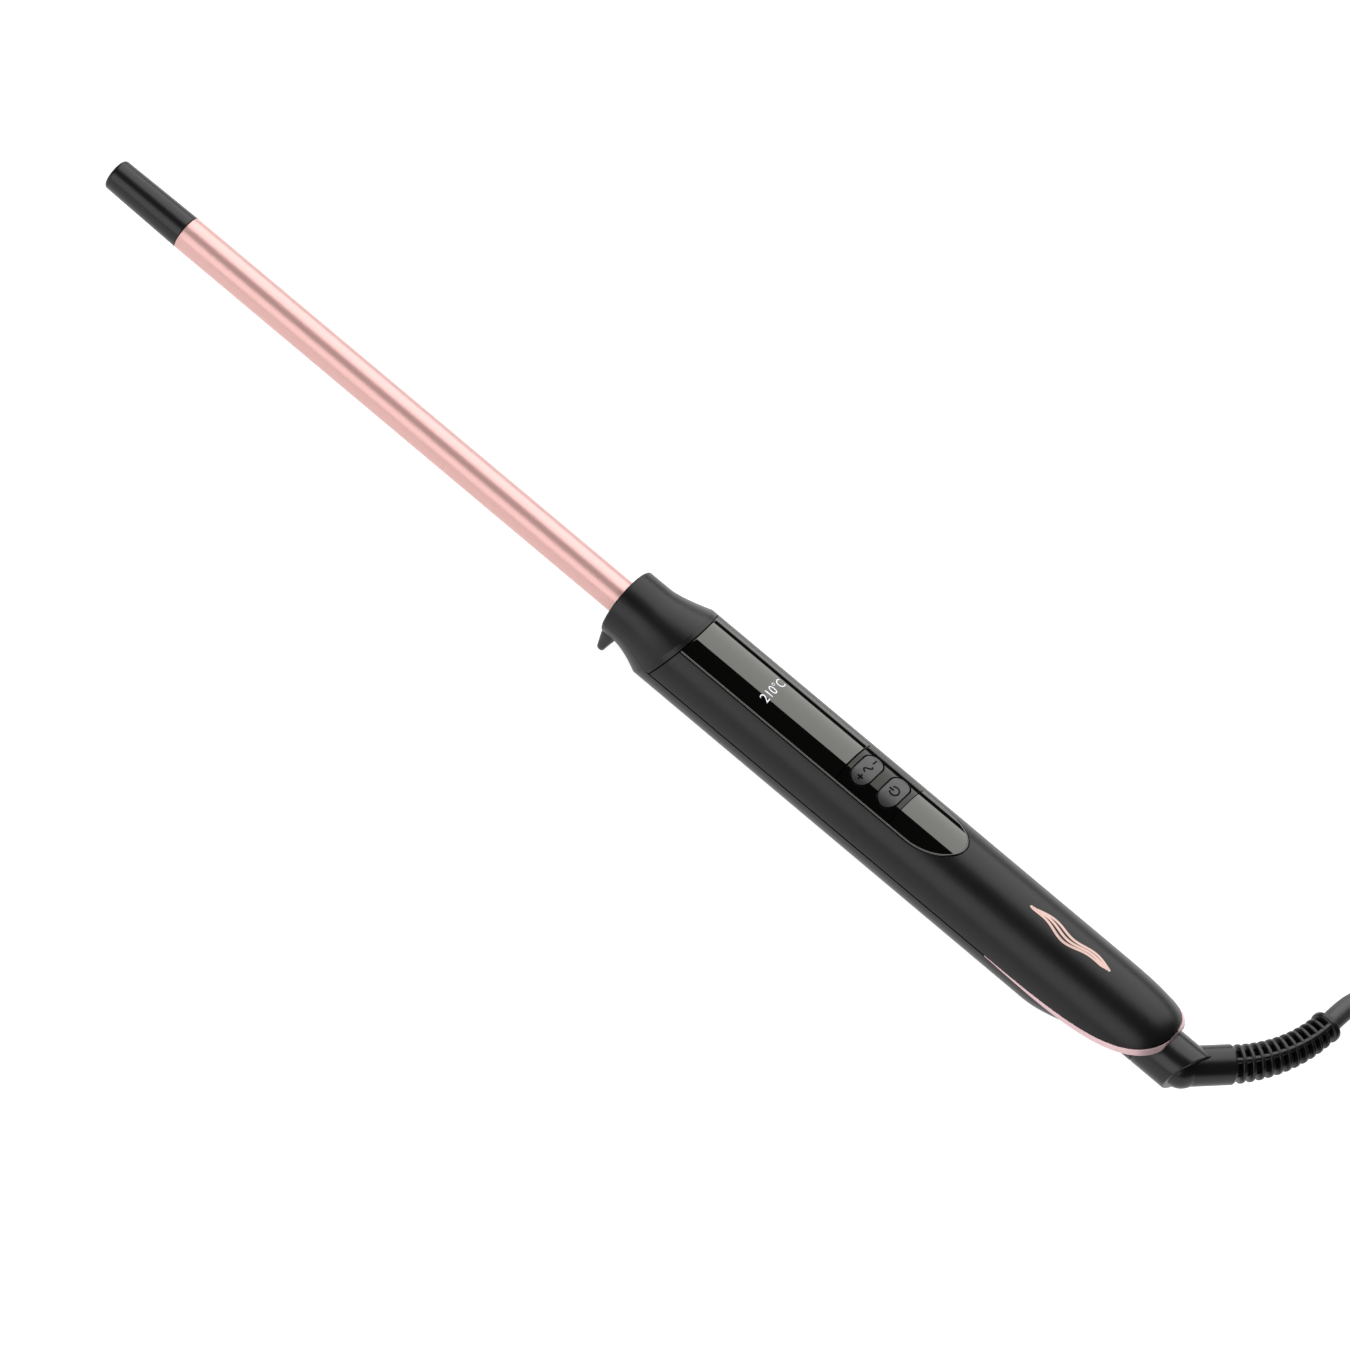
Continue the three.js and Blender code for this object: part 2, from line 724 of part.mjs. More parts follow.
// How far the hank's two runs are drawn together, from 0 at its folds to 1 at its tie.
function waistShare(x) {
  const share = (x - hankCentre[0]) / hankRun + 0.5;
  return Math.sin(Math.PI * THREE.MathUtils.clamp(share, 0, 1)) ** 2;
}

function hankShape(grow) {
  const [cx, cy] = hankCentre;
  const outer = foldOuter + grow;
  const shape = new THREE.Shape();
  const runs = curveSteps(cx - hankRun / 2, cx + hankRun / 2, 12);
  const halfWidth = (x) => outer - waistShift * waistShare(x);
  runs.forEach((x, i) => (i ? shape.lineTo(x, cy - halfWidth(x)) : shape.moveTo(x, cy - halfWidth(x))));
  shape.absarc(cx + hankRun / 2, cy, outer, -Math.PI / 2, Math.PI / 2);
  [...runs].reverse().forEach((x) => shape.lineTo(x, cy + halfWidth(x)));
  shape.absarc(cx - hankRun / 2, cy, outer, Math.PI / 2, 1.5 * Math.PI);
  return shape;
}

// The tie's loop, with its inside grown by a gap on every side.
function tieInside(grow) {
  const [cx, cy] = hankCentre;
  const half = foldOuter - waistShift + grow;
  return block(cx - tieWidth, cx + tieWidth, cy - half, cy + half,
    tieThickness + fit - grow, hankHeight + grow);
}

function cordTie() {
  const [cx, cy] = hankCentre;
  const half = foldOuter - waistShift + fit + tieThickness;
  const loop = block(cx - tieWidth / 2, cx + tieWidth / 2, cy - half, cy + half,
    0, hankHeight + fit + tieThickness);
  return loop.subtract(tieInside(fit));
}

function cordHank() {
  const [cx, cy] = hankCentre;
  const reach = tieWidth / 2 + fit;
  const seat = block(cx - reach, cx + reach, cy - foldOuter, cy + foldOuter, -1, hankHeight + 1);
  return upPrism(hankShape(0), 0, hankHeight, 8).subtract(seat.subtract(tieInside(0)));
}

function clearOfHank(made) {
  return made.subtract(upPrism(hankShape(fit), -1, hankHeight + fit, 8));
}

function plugBody() {
  const [, cy] = hankCentre;
  const half = plugWidth / 2;
  const narrow = 5.5;
  const shape = outlineShape([
    [0, cy - narrow], [plugLength * 0.45, cy - half + 1.5], [plugLength * 0.6, cy - half],
    [plugLength, cy - half], [plugLength, cy + half], [plugLength * 0.6, cy + half],
    [plugLength * 0.45, cy + half - 1.5], [0, cy + narrow],
  ]);
  const base = hankHeight + fit + tieThickness + fit;
  const body = upPrism(shape, base, base + plugThickness - tieThickness - fit).translate([plugStart, 0, 0]);
  const bores = [-1, 1].map((hand) => plugPinAt(hand, pinRadius + fit, plugLength - 6));
  return body.subtract(bores[0]).subtract(bores[1]);
}

function plugPinAt(hand, radius, from) {
  const height = hankHeight + fit + tieThickness + fit + (plugThickness - tieThickness - fit) / 2;
  const y = hankCentre[1] + (hand * pinSpacing) / 2;
  return rod(plugStart + from, plugStart + plugLength + pinLength, radius, 12).translate([0, y, height]);
}

// ---- Assembly ----

const object = new THREE.Group();
const wand = new THREE.Group();
wand.position.set(axisShift, 0, handleRadius);
object.add(wand);

function place(name, made, material, parent = wand) {
  const mesh = new THREE.Mesh(geometryOf(made), material);
  mesh.name = name;
  parent.add(mesh);
}

place("barrel_tube", barrelTube(), roseMetal);
place("cool_tip", coolTip(), softBlack);
place("heater_element", heaterElement(), ceramic);
place("heater_spreader_upper", heaterSpreader(1), aluminium);
place("heater_spreader_lower", heaterSpreader(-1), aluminium);
place("temperature_sensor", temperatureSensor(), brass);
place("thermal_fuse", thermalFuse(), steel);
place("barrel_insulator", barrelInsulator(), ceramic);
place("nose_cover", noseCover(), softBlack);
place("upper_housing", upperHousing(), softBlack);
place("lower_housing", lowerHousing(), softBlack);
place("trim_band", trimBand(), roseMetal);
place("front_lens", panelSlice(seamAt(0) + fit, frontLensEnd, true), gloss);
place("button_bezel", buttonBezel(), gloss);
place("rear_lens", panelSlice(bezelEnd, panelApex + 1, false), gloss);
for (const [name, at] of [["temp", tempButtonAt], ["power", powerButtonAt]]) {
  place(name + "_button_cap", buttonCap(at), softBlack);
  place(name + "_switch_plunger", plunger(at), partBlack);
  place(name + "_switch_body", switchBody(at), steel);
}
place("display_module", displayModule(), partBlack);
place("control_board", controlBoard(), boardGreen);
place("triac", boardBlock(triacStart, triacLength, 5, 4.4), partBlack);
place("capacitor", lyingCan(capacitorStart, capacitorLength, capacitorRadius), blueLead);
place("board_connector", boardBlock(connectorStart, connectorLength, 4.5, 4.6), ceramic);
screwPlaces.forEach((at, i) => place("housing_screw_" + (i + 1), pinScrew(at), steel));
place("swivel_bush", swivelBush(), ceramic);
place("swivel_spindle", swivelSpindle(), partBlack);
place("retaining_clip", retainingClip(), steel);
["live", "neutral"].forEach((wire, i) => {
  place("slip_ring_" + wire, slipRing(ringPlaces[i]), brass);
  place("contact_" + wire, contactFinger(ringPlaces[i]), brass);
});
place("elbow_relief", elbowRelief(), cordBlack);

// Leads held inside the housing.
const leadEnd = boardTop + 1.6;
const leadSide = boardHalf - 3;
for (const [name, hand] of [["heater_lead_a", -1], ["heater_lead_b", 1]])
  place(name, tube([
    [barrelRoot - 15.4, hand * 1.8, 0], [barrelRoot - 6, hand * 2.2, 0.6], [barrelRoot + 2, hand * 3.6, 1.6],
    [barrelRoot + 12, hand * 4.6, leadEnd], [boardStart + 3, hand * 4.6, leadEnd],
  ], 0.6, 12, 6), hand > 0 ? blueLead : redLead);
place("sensor_lead", tube([
  [barrelRoot - 21.6, 0, 2.2], [barrelRoot - 8, 0, 2.7], [barrelRoot, -0.6, 2.8],
  [barrelRoot + 3, -2.6, 3.8], [barrelRoot + 7, -5.8, leadEnd + 1.2], [boardStart + 3, -6.2, leadEnd + 1.2],
], 0.5, 12, 6), brass);
const contactLow = -(spindleRadius + 2 * fit + ringThickness) - 2;
for (const [name, hand, ringAt] of [["mains_lead_live", 1, 0], ["mains_lead_neutral", -1, 1]])
  place(name, tube([
    [ringPlaces[ringAt] + 1.2, hand > 0 ? 4 : -4, contactLow], [ringPlaces[0] - 5, hand * 4.8, contactLow],
    [boardEnd + 1.5, hand * 4.8, contactLow + 2], [boardEnd + 2.4, hand * 4.2, boardTop],
    [boardEnd + 0.8, hand * 2.4, boardTop + 2.4],
  ], 0.7, 14, 6), hand > 0 ? redLead : blueLead);

place("cord_lead", clearOfHank(tube(leadPoints, cordRadius, 18)), cordBlack, object);
place("cord_hank", cordHank(), cordBlack, object);
place("cord_tail", clearOfHank(tube(tailPoints, cordRadius, 12)), cordBlack, object);
place("cord_tie", cordTie(), cordBlack, object);
place("plug_body", plugBody(), cordBlack, object);
place("plug_pin_left", plugPinAt(-1, pinRadius, plugLength - 5.5), brass, object);
place("plug_pin_right", plugPinAt(1, pinRadius, plugLength - 5.5), brass, object);

export default object;
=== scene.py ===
import json
import math

import bmesh
import bpy
import numpy as np
from mathutils import Matrix, Vector


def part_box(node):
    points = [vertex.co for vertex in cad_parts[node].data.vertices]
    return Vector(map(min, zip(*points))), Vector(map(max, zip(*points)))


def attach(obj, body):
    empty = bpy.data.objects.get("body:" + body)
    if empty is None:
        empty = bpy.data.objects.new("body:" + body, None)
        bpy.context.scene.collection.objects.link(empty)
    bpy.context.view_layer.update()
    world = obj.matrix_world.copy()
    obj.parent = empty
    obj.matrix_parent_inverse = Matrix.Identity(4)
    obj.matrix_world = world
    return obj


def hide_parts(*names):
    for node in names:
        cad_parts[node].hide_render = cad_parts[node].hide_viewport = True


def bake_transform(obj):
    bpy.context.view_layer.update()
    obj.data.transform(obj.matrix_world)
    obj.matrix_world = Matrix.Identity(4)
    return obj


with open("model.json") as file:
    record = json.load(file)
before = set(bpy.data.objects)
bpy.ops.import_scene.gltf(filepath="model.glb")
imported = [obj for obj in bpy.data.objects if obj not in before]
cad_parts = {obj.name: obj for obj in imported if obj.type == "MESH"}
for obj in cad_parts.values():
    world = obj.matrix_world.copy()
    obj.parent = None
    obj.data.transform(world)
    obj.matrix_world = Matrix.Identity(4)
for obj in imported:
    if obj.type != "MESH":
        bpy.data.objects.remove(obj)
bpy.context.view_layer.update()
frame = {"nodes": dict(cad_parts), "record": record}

mm = 0.001
scene = bpy.context.scene

# everything on the wand is placed by millimetres behind the nose's front face, across, and above its axis
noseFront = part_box("nose_cover")[0].x / mm
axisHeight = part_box("upper_housing")[1].z / mm / 2
backStart = 160
rimStart = 137
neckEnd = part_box("lower_housing")[1].x / mm - noseFront
swivelFront = neckEnd + 0.3

handle = {
    "radius": axisHeight, "wall": 2.4, "backReach": 33, "noseRadius": 10.2, "noseWall": 2.1,
    "noseEdge": 0.8, "barrelHole": 5.25, "flareFrom": 6.25, "flareTo": 17, "startLean": 0.27, "endLean": 0.4,
    "flarePower": 1.45, "crease": 15,
    "seamAt": 19, "seamLean": 0.356, "seamGap": 0.28, "noseGap": 0.04, "softEdge": 0.22,
    "rimSpan": 55, "rimRise": 9.3, "rimPower": 2.84, "bandWidth": 1.5,
    "bandGrowth": 33, "bandProud": 0.32, "bandOverlap": 0.1,
    "bellyTaper": 29, "neckLength": 4, "neckRadius": 7.5, "columns": 44,
}


class Val:
    # a socket that can be used in sums; every sum adds its Math node
    def __init__(self, tree, socket):
        self.tree = tree
        self.socket = socket

    def math(self, operation, *others):
        node = self.tree.nodes.new("ShaderNodeMath")
        node.operation = operation
        for index, value in enumerate((self, *others)):
            if isinstance(value, Val):
                self.tree.links.new(value.socket, node.inputs[index])
            else:
                node.inputs[index].default_value = value
        return Val(self.tree, node.outputs[0])

    def __add__(self, other):
        return self.math("ADD", other)

    def __mul__(self, other):
        return self.math("MULTIPLY", other)

    def __radd__(self, other):
        return self.math("ADD", other)

    def __rmul__(self, other):
        return self.math("MULTIPLY", other)


class Finish:
    # a material and its node tree
    def __init__(self, name):
        self.material = bpy.data.materials.new(name)
        self.material.use_nodes = True
        self.tree = self.material.node_tree
        self.shader = self.tree.nodes["Principled BSDF"]
        self.place = self.node("ShaderNodeTexCoord")["Object"]

    def node(self, kind, settings=None, **values):
        node = self.tree.nodes.new(kind)
        for key, value in (settings or {}).items():
            setattr(node, key, value)
        self.fill(node, values)
        return {socket.name: Val(self.tree, socket) for socket in node.outputs}

    def fill(self, node, values):
        for key, value in values.items():
            socket = node.inputs[key.replace("_", " ")]
            if isinstance(value, Val):
                self.tree.links.new(value.socket, socket)
            else:
                socket.default_value = value

    def noise(self, scale, detail=3, roughness=0.5, stretch=None):
        place = self.place
        if stretch:
            place = self.node("ShaderNodeMapping", Vector=self.place, Scale=stretch)["Vector"]
        return self.node("ShaderNodeTexNoise", Vector=place, Scale=scale, Detail=detail, Roughness=roughness)[
            "Fac"
        ]

    def blendColour(self, mask, first, second):
        mix = self.tree.nodes.new("ShaderNodeMix")
        mix.data_type = "RGBA"
        self.tree.links.new(mask.socket, mix.inputs["Factor"])
        mix.inputs[6].default_value = (*first, 1)
        mix.inputs[7].default_value = (*second, 1)
        return Val(self.tree, mix.outputs[2])

    def bump(self, height, strength, distance):
        return self.node(
            "ShaderNodeBump", Height=height, Strength=strength, Distance=distance
        )["Normal"]

    def surface(self, **values):
        self.fill(self.shader, values)
        return self.material


def softBlack():
    # soft-touch paint: a very fine grain and slightly uneven sheen
    paint = Finish("soft_touch_black")
    grain = paint.noise(5200, 2)
    cloud = paint.noise(60, 4)
    return paint.surface(
        Base_Color=paint.blendColour(cloud, (0.0032, 0.0032, 0.0033), (0.0048, 0.0048, 0.0049)),
        Roughness=0.31 + cloud * 0.08,
        Specular_IOR_Level=0.25,
        Normal=paint.bump(grain, 0.22, 0.00004),
    )


def tipBlack():
    plastic = Finish("tip_black")
    grain = plastic.noise(4200, 2)
    return plastic.surface(
        Base_Color=plastic.blendColour(plastic.noise(120, 3), (0.004, 0.004, 0.0042), (0.006, 0.006, 0.0062)),
        Roughness=0.26 + grain * 0.06,
        Specular_IOR_Level=0.3,
        Normal=plastic.bump(grain, 0.12, 0.00003),
    )


def glossBlack(name="gloss_black", shade=0.0006, roughness=0.02, gloss=0.75):
    # clear moulded window: near black, with a faint ripple and a few fine wipe marks
    lens = Finish(name)
    ripple = lens.noise(25, 2)
    wipes = lens.noise(30, 5, 0.6, (1, 14, 14))
    return lens.surface(
        Base_Color=lens.blendColour(
            ripple, (shade, shade, shade * 0.95), (shade * 1.5, shade * 1.5, shade * 1.4)
        ),
        Roughness=roughness + wipes * 0.03,
        Specular_IOR_Level=gloss,
        Specular_Tint=(1, 1, 0.93, 1),
        Normal=lens.bump(ripple, 0.03, 0.00002),
    )


def roseCoating():
    # satin ceramic coating over aluminium: fine lengthwise polish and a very fine grain
    coat = Finish("rose_coating")
    polish = coat.noise(900, 3, 0.6, (0.02, 1, 1))
    grain = coat.noise(6000, 1)
    return coat.surface(
        Base_Color=coat.blendColour(polish, (0.55, 0.325, 0.305), (0.60, 0.355, 0.335)),
        Metallic=0.45,
        Roughness=0.31 + polish * 0.06,
        Normal=coat.bump(polish * 0.6 + grain * 0.4, 0.16, 0.00003),
    )


def roseTrim():
    plate = Finish("rose_trim")
    polish = plate.noise(700, 3, 0.6, (0.05, 1, 1))
    return plate.surface(
        Base_Color=plate.blendColour(polish, (0.60, 0.42, 0.44), (0.66, 0.46, 0.48)),
        Metallic=0.6,
        Roughness=0.3 + polish * 0.08,
        Normal=plate.bump(polish, 0.1, 0.00002),
    )


def rosePrint():
    ink = Finish("rose_print")
    flake = ink.noise(3000, 2)
    return ink.surface(
        Base_Color=ink.blendColour(flake, (0.50, 0.33, 0.29), (0.60, 0.42, 0.37)),
        Metallic=0.3,
        Roughness=0.45 + flake * 0.1,
    )


def swivelBlack():
    plastic = Finish("swivel_black")
    cloud = plastic.noise(90, 3)
    return plastic.surface(
        Base_Color=plastic.blendColour(cloud, (0.004, 0.004, 0.0042), (0.0065, 0.0065, 0.0067)),
        Roughness=0.24 + cloud * 0.1,
        Specular_IOR_Level=0.32,
        Normal=plastic.bump(plastic.noise(2600, 2), 0.1, 0.00003),
    )


def cordSheath():
    rubber = Finish("cord_sheath")
    cloud = rubber.noise(140, 4)
    return rubber.surface(
        Base_Color=rubber.blendColour(cloud, (0.016, 0.016, 0.0165), (0.026, 0.026, 0.0265)),
        Roughness=0.42 + cloud * 0.12,
        Normal=rubber.bump(rubber.noise(1800, 3), 0.2, 0.00004),
    )


def tieFabric():
    # hook-and-loop strap: short bristly pile
    strap = Finish("tie_fabric")
    pile = strap.node("ShaderNodeTexVoronoi", Vector=strap.place, Scale=2600.0)["Distance"]
    return strap.surface(
        Base_Color=strap.blendColour(pile, (0.030, 0.030, 0.031), (0.010, 0.010, 0.010)),
        Roughness=0.85,
        Sheen_Weight=0.25,
        Normal=strap.bump(pile, 0.7, 0.0001),
    )


def plain(name, low, high, roughness, metallic=0.0, scale=300.0, depth=0.1, gloss=0.5):
    # moulded, turned or pressed inner pieces: two close tones and a light grain
    stuff = Finish(name)
    cloud = stuff.noise(scale, 3)
    return stuff.surface(
        Base_Color=stuff.blendColour(cloud, low, high),
        Metallic=metallic,
        Specular_IOR_Level=gloss,
        Roughness=roughness + cloud * 0.12,
        Normal=stuff.bump(cloud, depth, 0.00003),
    )


def glowing(name, colour, strength):
    light = Finish(name)
    return light.surface(
        Base_Color=(*colour, 1), Roughness=0.5, Emission_Color=(*colour, 1), Emission_Strength=strength
    )


finishes = {
    "soft": softBlack(),
    "tip": tipBlack(),
    "gloss": glossBlack(),
    "bezel": glossBlack("bezel_black", 0.001, 0.05, 0.3),
    "rim": glossBlack("rim_black", 0.002, 0.12, 0.8),
    "button": plain("button_black", (0.013, 0.013, 0.0135), (0.018, 0.018, 0.0185), 0.3, depth=0.05),
    "sign": plain("button_sign", (0.002, 0.002, 0.002), (0.002, 0.002, 0.002), 0.6, gloss=0.04),
    "barrel": roseCoating(),
    "trim": roseTrim(),
    "print": rosePrint(),
    "swivel": swivelBlack(),
    # the strain relief's core: darker and duller than the relief's black plastic, painted shade that keeps the
    # slots between the ribs black
    "slot": plain("slot_core_painted_shade", (0.001, 0.001, 0.001), (0.002, 0.002, 0.002), 0.75, depth=0.05, gloss=0.1),
    "cord": cordSheath(),
    "tie": tieFabric(),
    "plug": plain("plug_black", (0.014, 0.014, 0.0145), (0.022, 0.022, 0.0225), 0.42, depth=0.2),
    "pin": plain("pin_nickel", (0.70, 0.68, 0.64), (0.78, 0.76, 0.72), 0.2, 1.0),
    "steel": plain("zinc_steel", (0.50, 0.50, 0.51), (0.62, 0.62, 0.63), 0.3, 1.0),
    "brass": plain("brass", (0.68, 0.50, 0.24), (0.76, 0.58, 0.30), 0.28, 1.0),
    "aluminium": plain("aluminium", (0.62, 0.62, 0.64), (0.74, 0.74, 0.76), 0.35, 1.0),
    "ceramic": plain("ceramic", (0.74, 0.70, 0.63), (0.82, 0.79, 0.73), 0.55),
    "board": plain("board_green", (0.02, 0.12, 0.06), (0.03, 0.17, 0.08), 0.4),
    "red": plain("lead_red", (0.35, 0.02, 0.02), (0.45, 0.04, 0.03), 0.45),
    "blue": plain("lead_blue", (0.03, 0.08, 0.30), (0.04, 0.11, 0.38), 0.45),
    "inner": plain("inner_black", (0.015, 0.015, 0.015), (0.025, 0.025, 0.025), 0.45),
    "digits": glowing("display_digits", (0.72, 0.74, 0.78), 0.3),
}
print("finishes made:", len(finishes))


def inFrame(points):
    # wand millimetres to the frame's metres
    return [((noseFront + u) * mm, y * mm, (axisHeight + z) * mm) for u, y, z in points]


def makePiece(name, points, faces, finish, sharpAngle=32, merge=True):
    mesh = bpy.data.meshes.new(name)
    mesh.from_pydata(points, [], faces)
    if merge:
        cleanMesh(mesh)
    piece = bpy.data.objects.new(name, mesh)
    scene.collection.objects.link(piece)
    mesh.materials.append(finishes[finish])
    shadeMesh(mesh, sharpAngle)
    return piece


def ringFaces(rows, across, closedRows=False, closedAcross=True):
    # quads between neighbouring rows of points, and from the last row to the first if they close
    faces = []
    for k in range(rows if closedRows else rows - 1):
        here, there = k * across, (k + 1) % rows * across
        for j in range(across if closedAcross else across - 1):
            after = (j + 1) % across
            faces.append((here + j, here + after, there + after, there + j))
    return faces


def cleanMesh(mesh):
    work = bmesh.new()
    work.from_mesh(mesh)
    bmesh.ops.remove_doubles(work, verts=work.verts, dist=0.000002)
    bmesh.ops.dissolve_degenerate(work, dist=0.000001, edges=work.edges)
    many = [f for f in work.faces if len(f.verts) > 4]
    bmesh.ops.triangulate(work, faces=many)
    bmesh.ops.recalc_face_normals(work, faces=work.faces)
    work.to_mesh(mesh)
    work.free()


def shadeMesh(mesh, sharpAngle):
    mesh.polygons.foreach_set("use_smooth", [True] * len(mesh.polygons))
    mesh.set_sharp_from_angle(angle=math.radians(sharpAngle))


def softenEdges(piece, width, segments=2, angle=38):
    bevel = piece.modifiers.new("soft_edges", "BEVEL")
    bevel.width = width * mm
    bevel.segments = segments
    bevel.limit_method = "ANGLE"
    bevel.angle_limit = math.radians(angle)
    bevel.harden_normals = True
    bevel.use_clamp_overlap = True


def bakeModifiers(piece, sharpAngle=32):
    # turns what the modifiers give into the piece's own mesh
    finish = piece.data.materials[0]
    graph = bpy.context.evaluated_depsgraph_get()
    mesh = bpy.data.meshes.new_from_object(piece.evaluated_get(graph))
    piece.modifiers.clear()
    piece.data = mesh
    if not mesh.materials:
        mesh.materials.append(finish)
    shadeMesh(mesh, sharpAngle)
    return piece


def combine(piece, cutter, operation):
    change = piece.modifiers.new(operation.lower(), "BOOLEAN")
    change.operation = operation
    change.solver = "EXACT"
    change.object = cutter
    bakeModifiers(piece)
    bpy.data.objects.remove(cutter)
    return piece


def belongs(piece, body, slot, *nodes):
    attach(piece, body)
    if nodes:
        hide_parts(*nodes)
    return piece


def turnedPiece(name, outline, finish, sides=96):
    # a closed outline of (along, radius), turned about the wand's axis
    points = []
    for u, r in outline:
        for step in range(sides):
            angle = 2 * math.pi * step / sides
            points.append((u, r * math.sin(angle), r * math.cos(angle)))
    return makePiece(name, inFrame(points), ringFaces(len(outline), sides, True), finish)


def arcPoints(centre, radius, fromAngle, toAngle, steps):
    # points of an arc in (along, radius), angles in degrees
    angles = [math.radians(fromAngle + (toAngle - fromAngle) * i / steps) for i in range(steps + 1)]
    return [(centre[0] + radius * math.cos(a), centre[1] + radius * math.sin(a)) for a in angles]


def sweptTube(name, path, radiusAt, finish, sides=16):
    # a round tube with closed ends along points in metres; radiusAt gives metres for a share of the way
    path = [Vector(p) for p in path]
    count = len(path)
    tangents = [(path[min(i + 1, count - 1)] - path[max(i - 1, 0)]).normalized() for i in range(count)]
    side = tangents[0].orthogonal().normalized()
    points = []
    for i, (at, tangent) in enumerate(zip(path, tangents)):
        side = (side - tangent * side.dot(tangent)).normalized()
        other = tangent.cross(side)
        radius = radiusAt(i / (count - 1))
        for step in range(sides):
            angle = 2 * math.pi * step / sides
            points.append(at + (side * math.cos(angle) + other * math.sin(angle)) * radius)
    faces = ringFaces(count, sides)
    faces += [tuple(reversed(range(sides))), tuple(range((count - 1) * sides, count * sides))]
    return makePiece(name, points, faces, finish, merge=False)


def smoothLine(points, spacing):
    # an even, smooth line through the points
    points = np.array(points, float)
    padded = np.vstack([2 * points[0] - points[1], points, 2 * points[-1] - points[-2]])
    line = []
    for i in range(1, len(padded) - 2):
        a, b, c, d = padded[i - 1 : i + 3]
        for t in np.linspace(0, 1, 12, endpoint=False):
            square, cube = (2 * a - 5 * b + 4 * c - d) * t**2, (3 * b - a - 3 * c + d) * t**3
            line.append(0.5 * (2 * b + (c - a) * t + square + cube))
    line.append(points[-1])
    return evenLine(np.array(line), spacing)


def evenLine(line, spacing):
    length = np.concatenate([[0], np.cumsum(np.linalg.norm(np.diff(line, axis=0), axis=1))])
    at = np.linspace(0, length[-1], max(2, int(round(length[-1] / spacing)) + 1))
    return np.stack([np.interp(at, length, line[:, axis]) for axis in range(3)], axis=1)


view = {
    "towards": (0.19, -0.535, 0.823),  # from the wand to the camera
    "lookAt": (23.5, -6.7),  # millimetres behind the nose's front, and across the picture's slope
    "slope": 40.0,  # degrees that the wand falls to the right
    "distance": 4.0,
    "lens": 397.6,
}


def makeCamera():
    back = Vector(view["towards"]).normalized()
    alongWand = (Vector((1, 0, 0)) - back * back.x).normalized()
    acrossWand = back.cross(alongWand)
    slope = math.radians(view["slope"])
    right = alongWand * math.cos(slope) + acrossWand * math.sin(slope)
    up = acrossWand * math.cos(slope) - alongWand * math.sin(slope)
    axisPoint = Vector(inFrame([(view["lookAt"][0], 0, 0)])[0])
    target = axisPoint + acrossWand * view["lookAt"][1] * mm
    camera = bpy.data.objects.new("camera", bpy.data.cameras.new("camera"))
    camera.data.lens = view["lens"]
    camera.data.sensor_width = 36
    camera.data.clip_start = 0.05
    turn = Matrix((right, up, back)).transposed()
    camera.matrix_world = Matrix.Translation(target + back * view["distance"]) @ turn.to_4x4()
    scene.collection.objects.link(camera)
    scene.camera = camera


studio = {
    "distance": 1.3, "long": 2.0, "sideways": -0.19, "surrounding": 0.03,
    "floorGlow": 0.85, "floorShade": 0.45, "floorHalf": 4, "floorDrop": 0.0002,
    # lean from straight above towards the far side and height of each soft box in degrees, and its brightness
    "boxes": [("far_box", 41, 68, 3.3), ("near_box", -62, 42, 2.6)],
}


def softBox(name, lean, tall, brightness):
    # a long area light beside the wand, parallel to it
    light = bpy.data.lights.new(name, "AREA")
    light.shape = "RECTANGLE"
    light.size = studio["long"]
    light.size_y = 2 * studio["distance"] * math.tan(math.radians(tall / 2))
    light.energy = brightness * math.pi * light.size * light.size_y
    lamp = bpy.data.objects.new(name, light)
    level = math.radians(lean)
    direction = Vector((studio["sideways"], math.sin(level), math.cos(level))).normalized()
    aim = Vector(inFrame([(60, 0, 0)])[0])
    across = Vector((1, 0, 0)).cross(direction).normalized()
    facing = Matrix((across.cross(-direction).normalized() * -1, across, direction)).transposed()
    lamp.matrix_world = Matrix.Translation(aim + direction * studio["distance"]) @ facing.to_4x4()
    scene.collection.objects.link(lamp)


def makeFloor():
    half, shade = studio["floorHalf"], studio["floorShade"]
    corners = [(x * half, y * half, -studio["floorDrop"]) for x, y in ((-1, -1), (1, -1), (1, 1), (-1, 1))]
    floor = bpy.data.meshes.new("floor")
    floor.from_pydata(corners, [], [(0, 1, 2, 3)])
    piece = bpy.data.objects.new("floor", floor)
    paper = Finish("floor_paper")
    floor.materials.append(paper.surface(
        Base_Color=paper.blendColour(paper.noise(6, 2), (shade,) * 3, (shade * 1.04,) * 3),
        Roughness=0.9,
        Specular_IOR_Level=0.1,
        Emission_Color=(1, 1, 1, 1),
        Emission_Strength=studio["floorGlow"],
    ))
    scene.collection.objects.link(piece)


def makeLights():
    world = bpy.data.worlds.new("studio")
    world.use_nodes = True
    world.node_tree.nodes["Background"].inputs["Color"].default_value = (1, 1, 1, 1)
    world.node_tree.nodes["Background"].inputs["Strength"].default_value = studio["surrounding"]
    scene.world = world
    for name, lean, tall, brightness in studio["boxes"]:
        softBox(name, lean, tall, brightness)


makeCamera()
makeFloor()
makeLights()
scene.view_settings.view_transform = "Standard"
print("camera, floor and lights made")


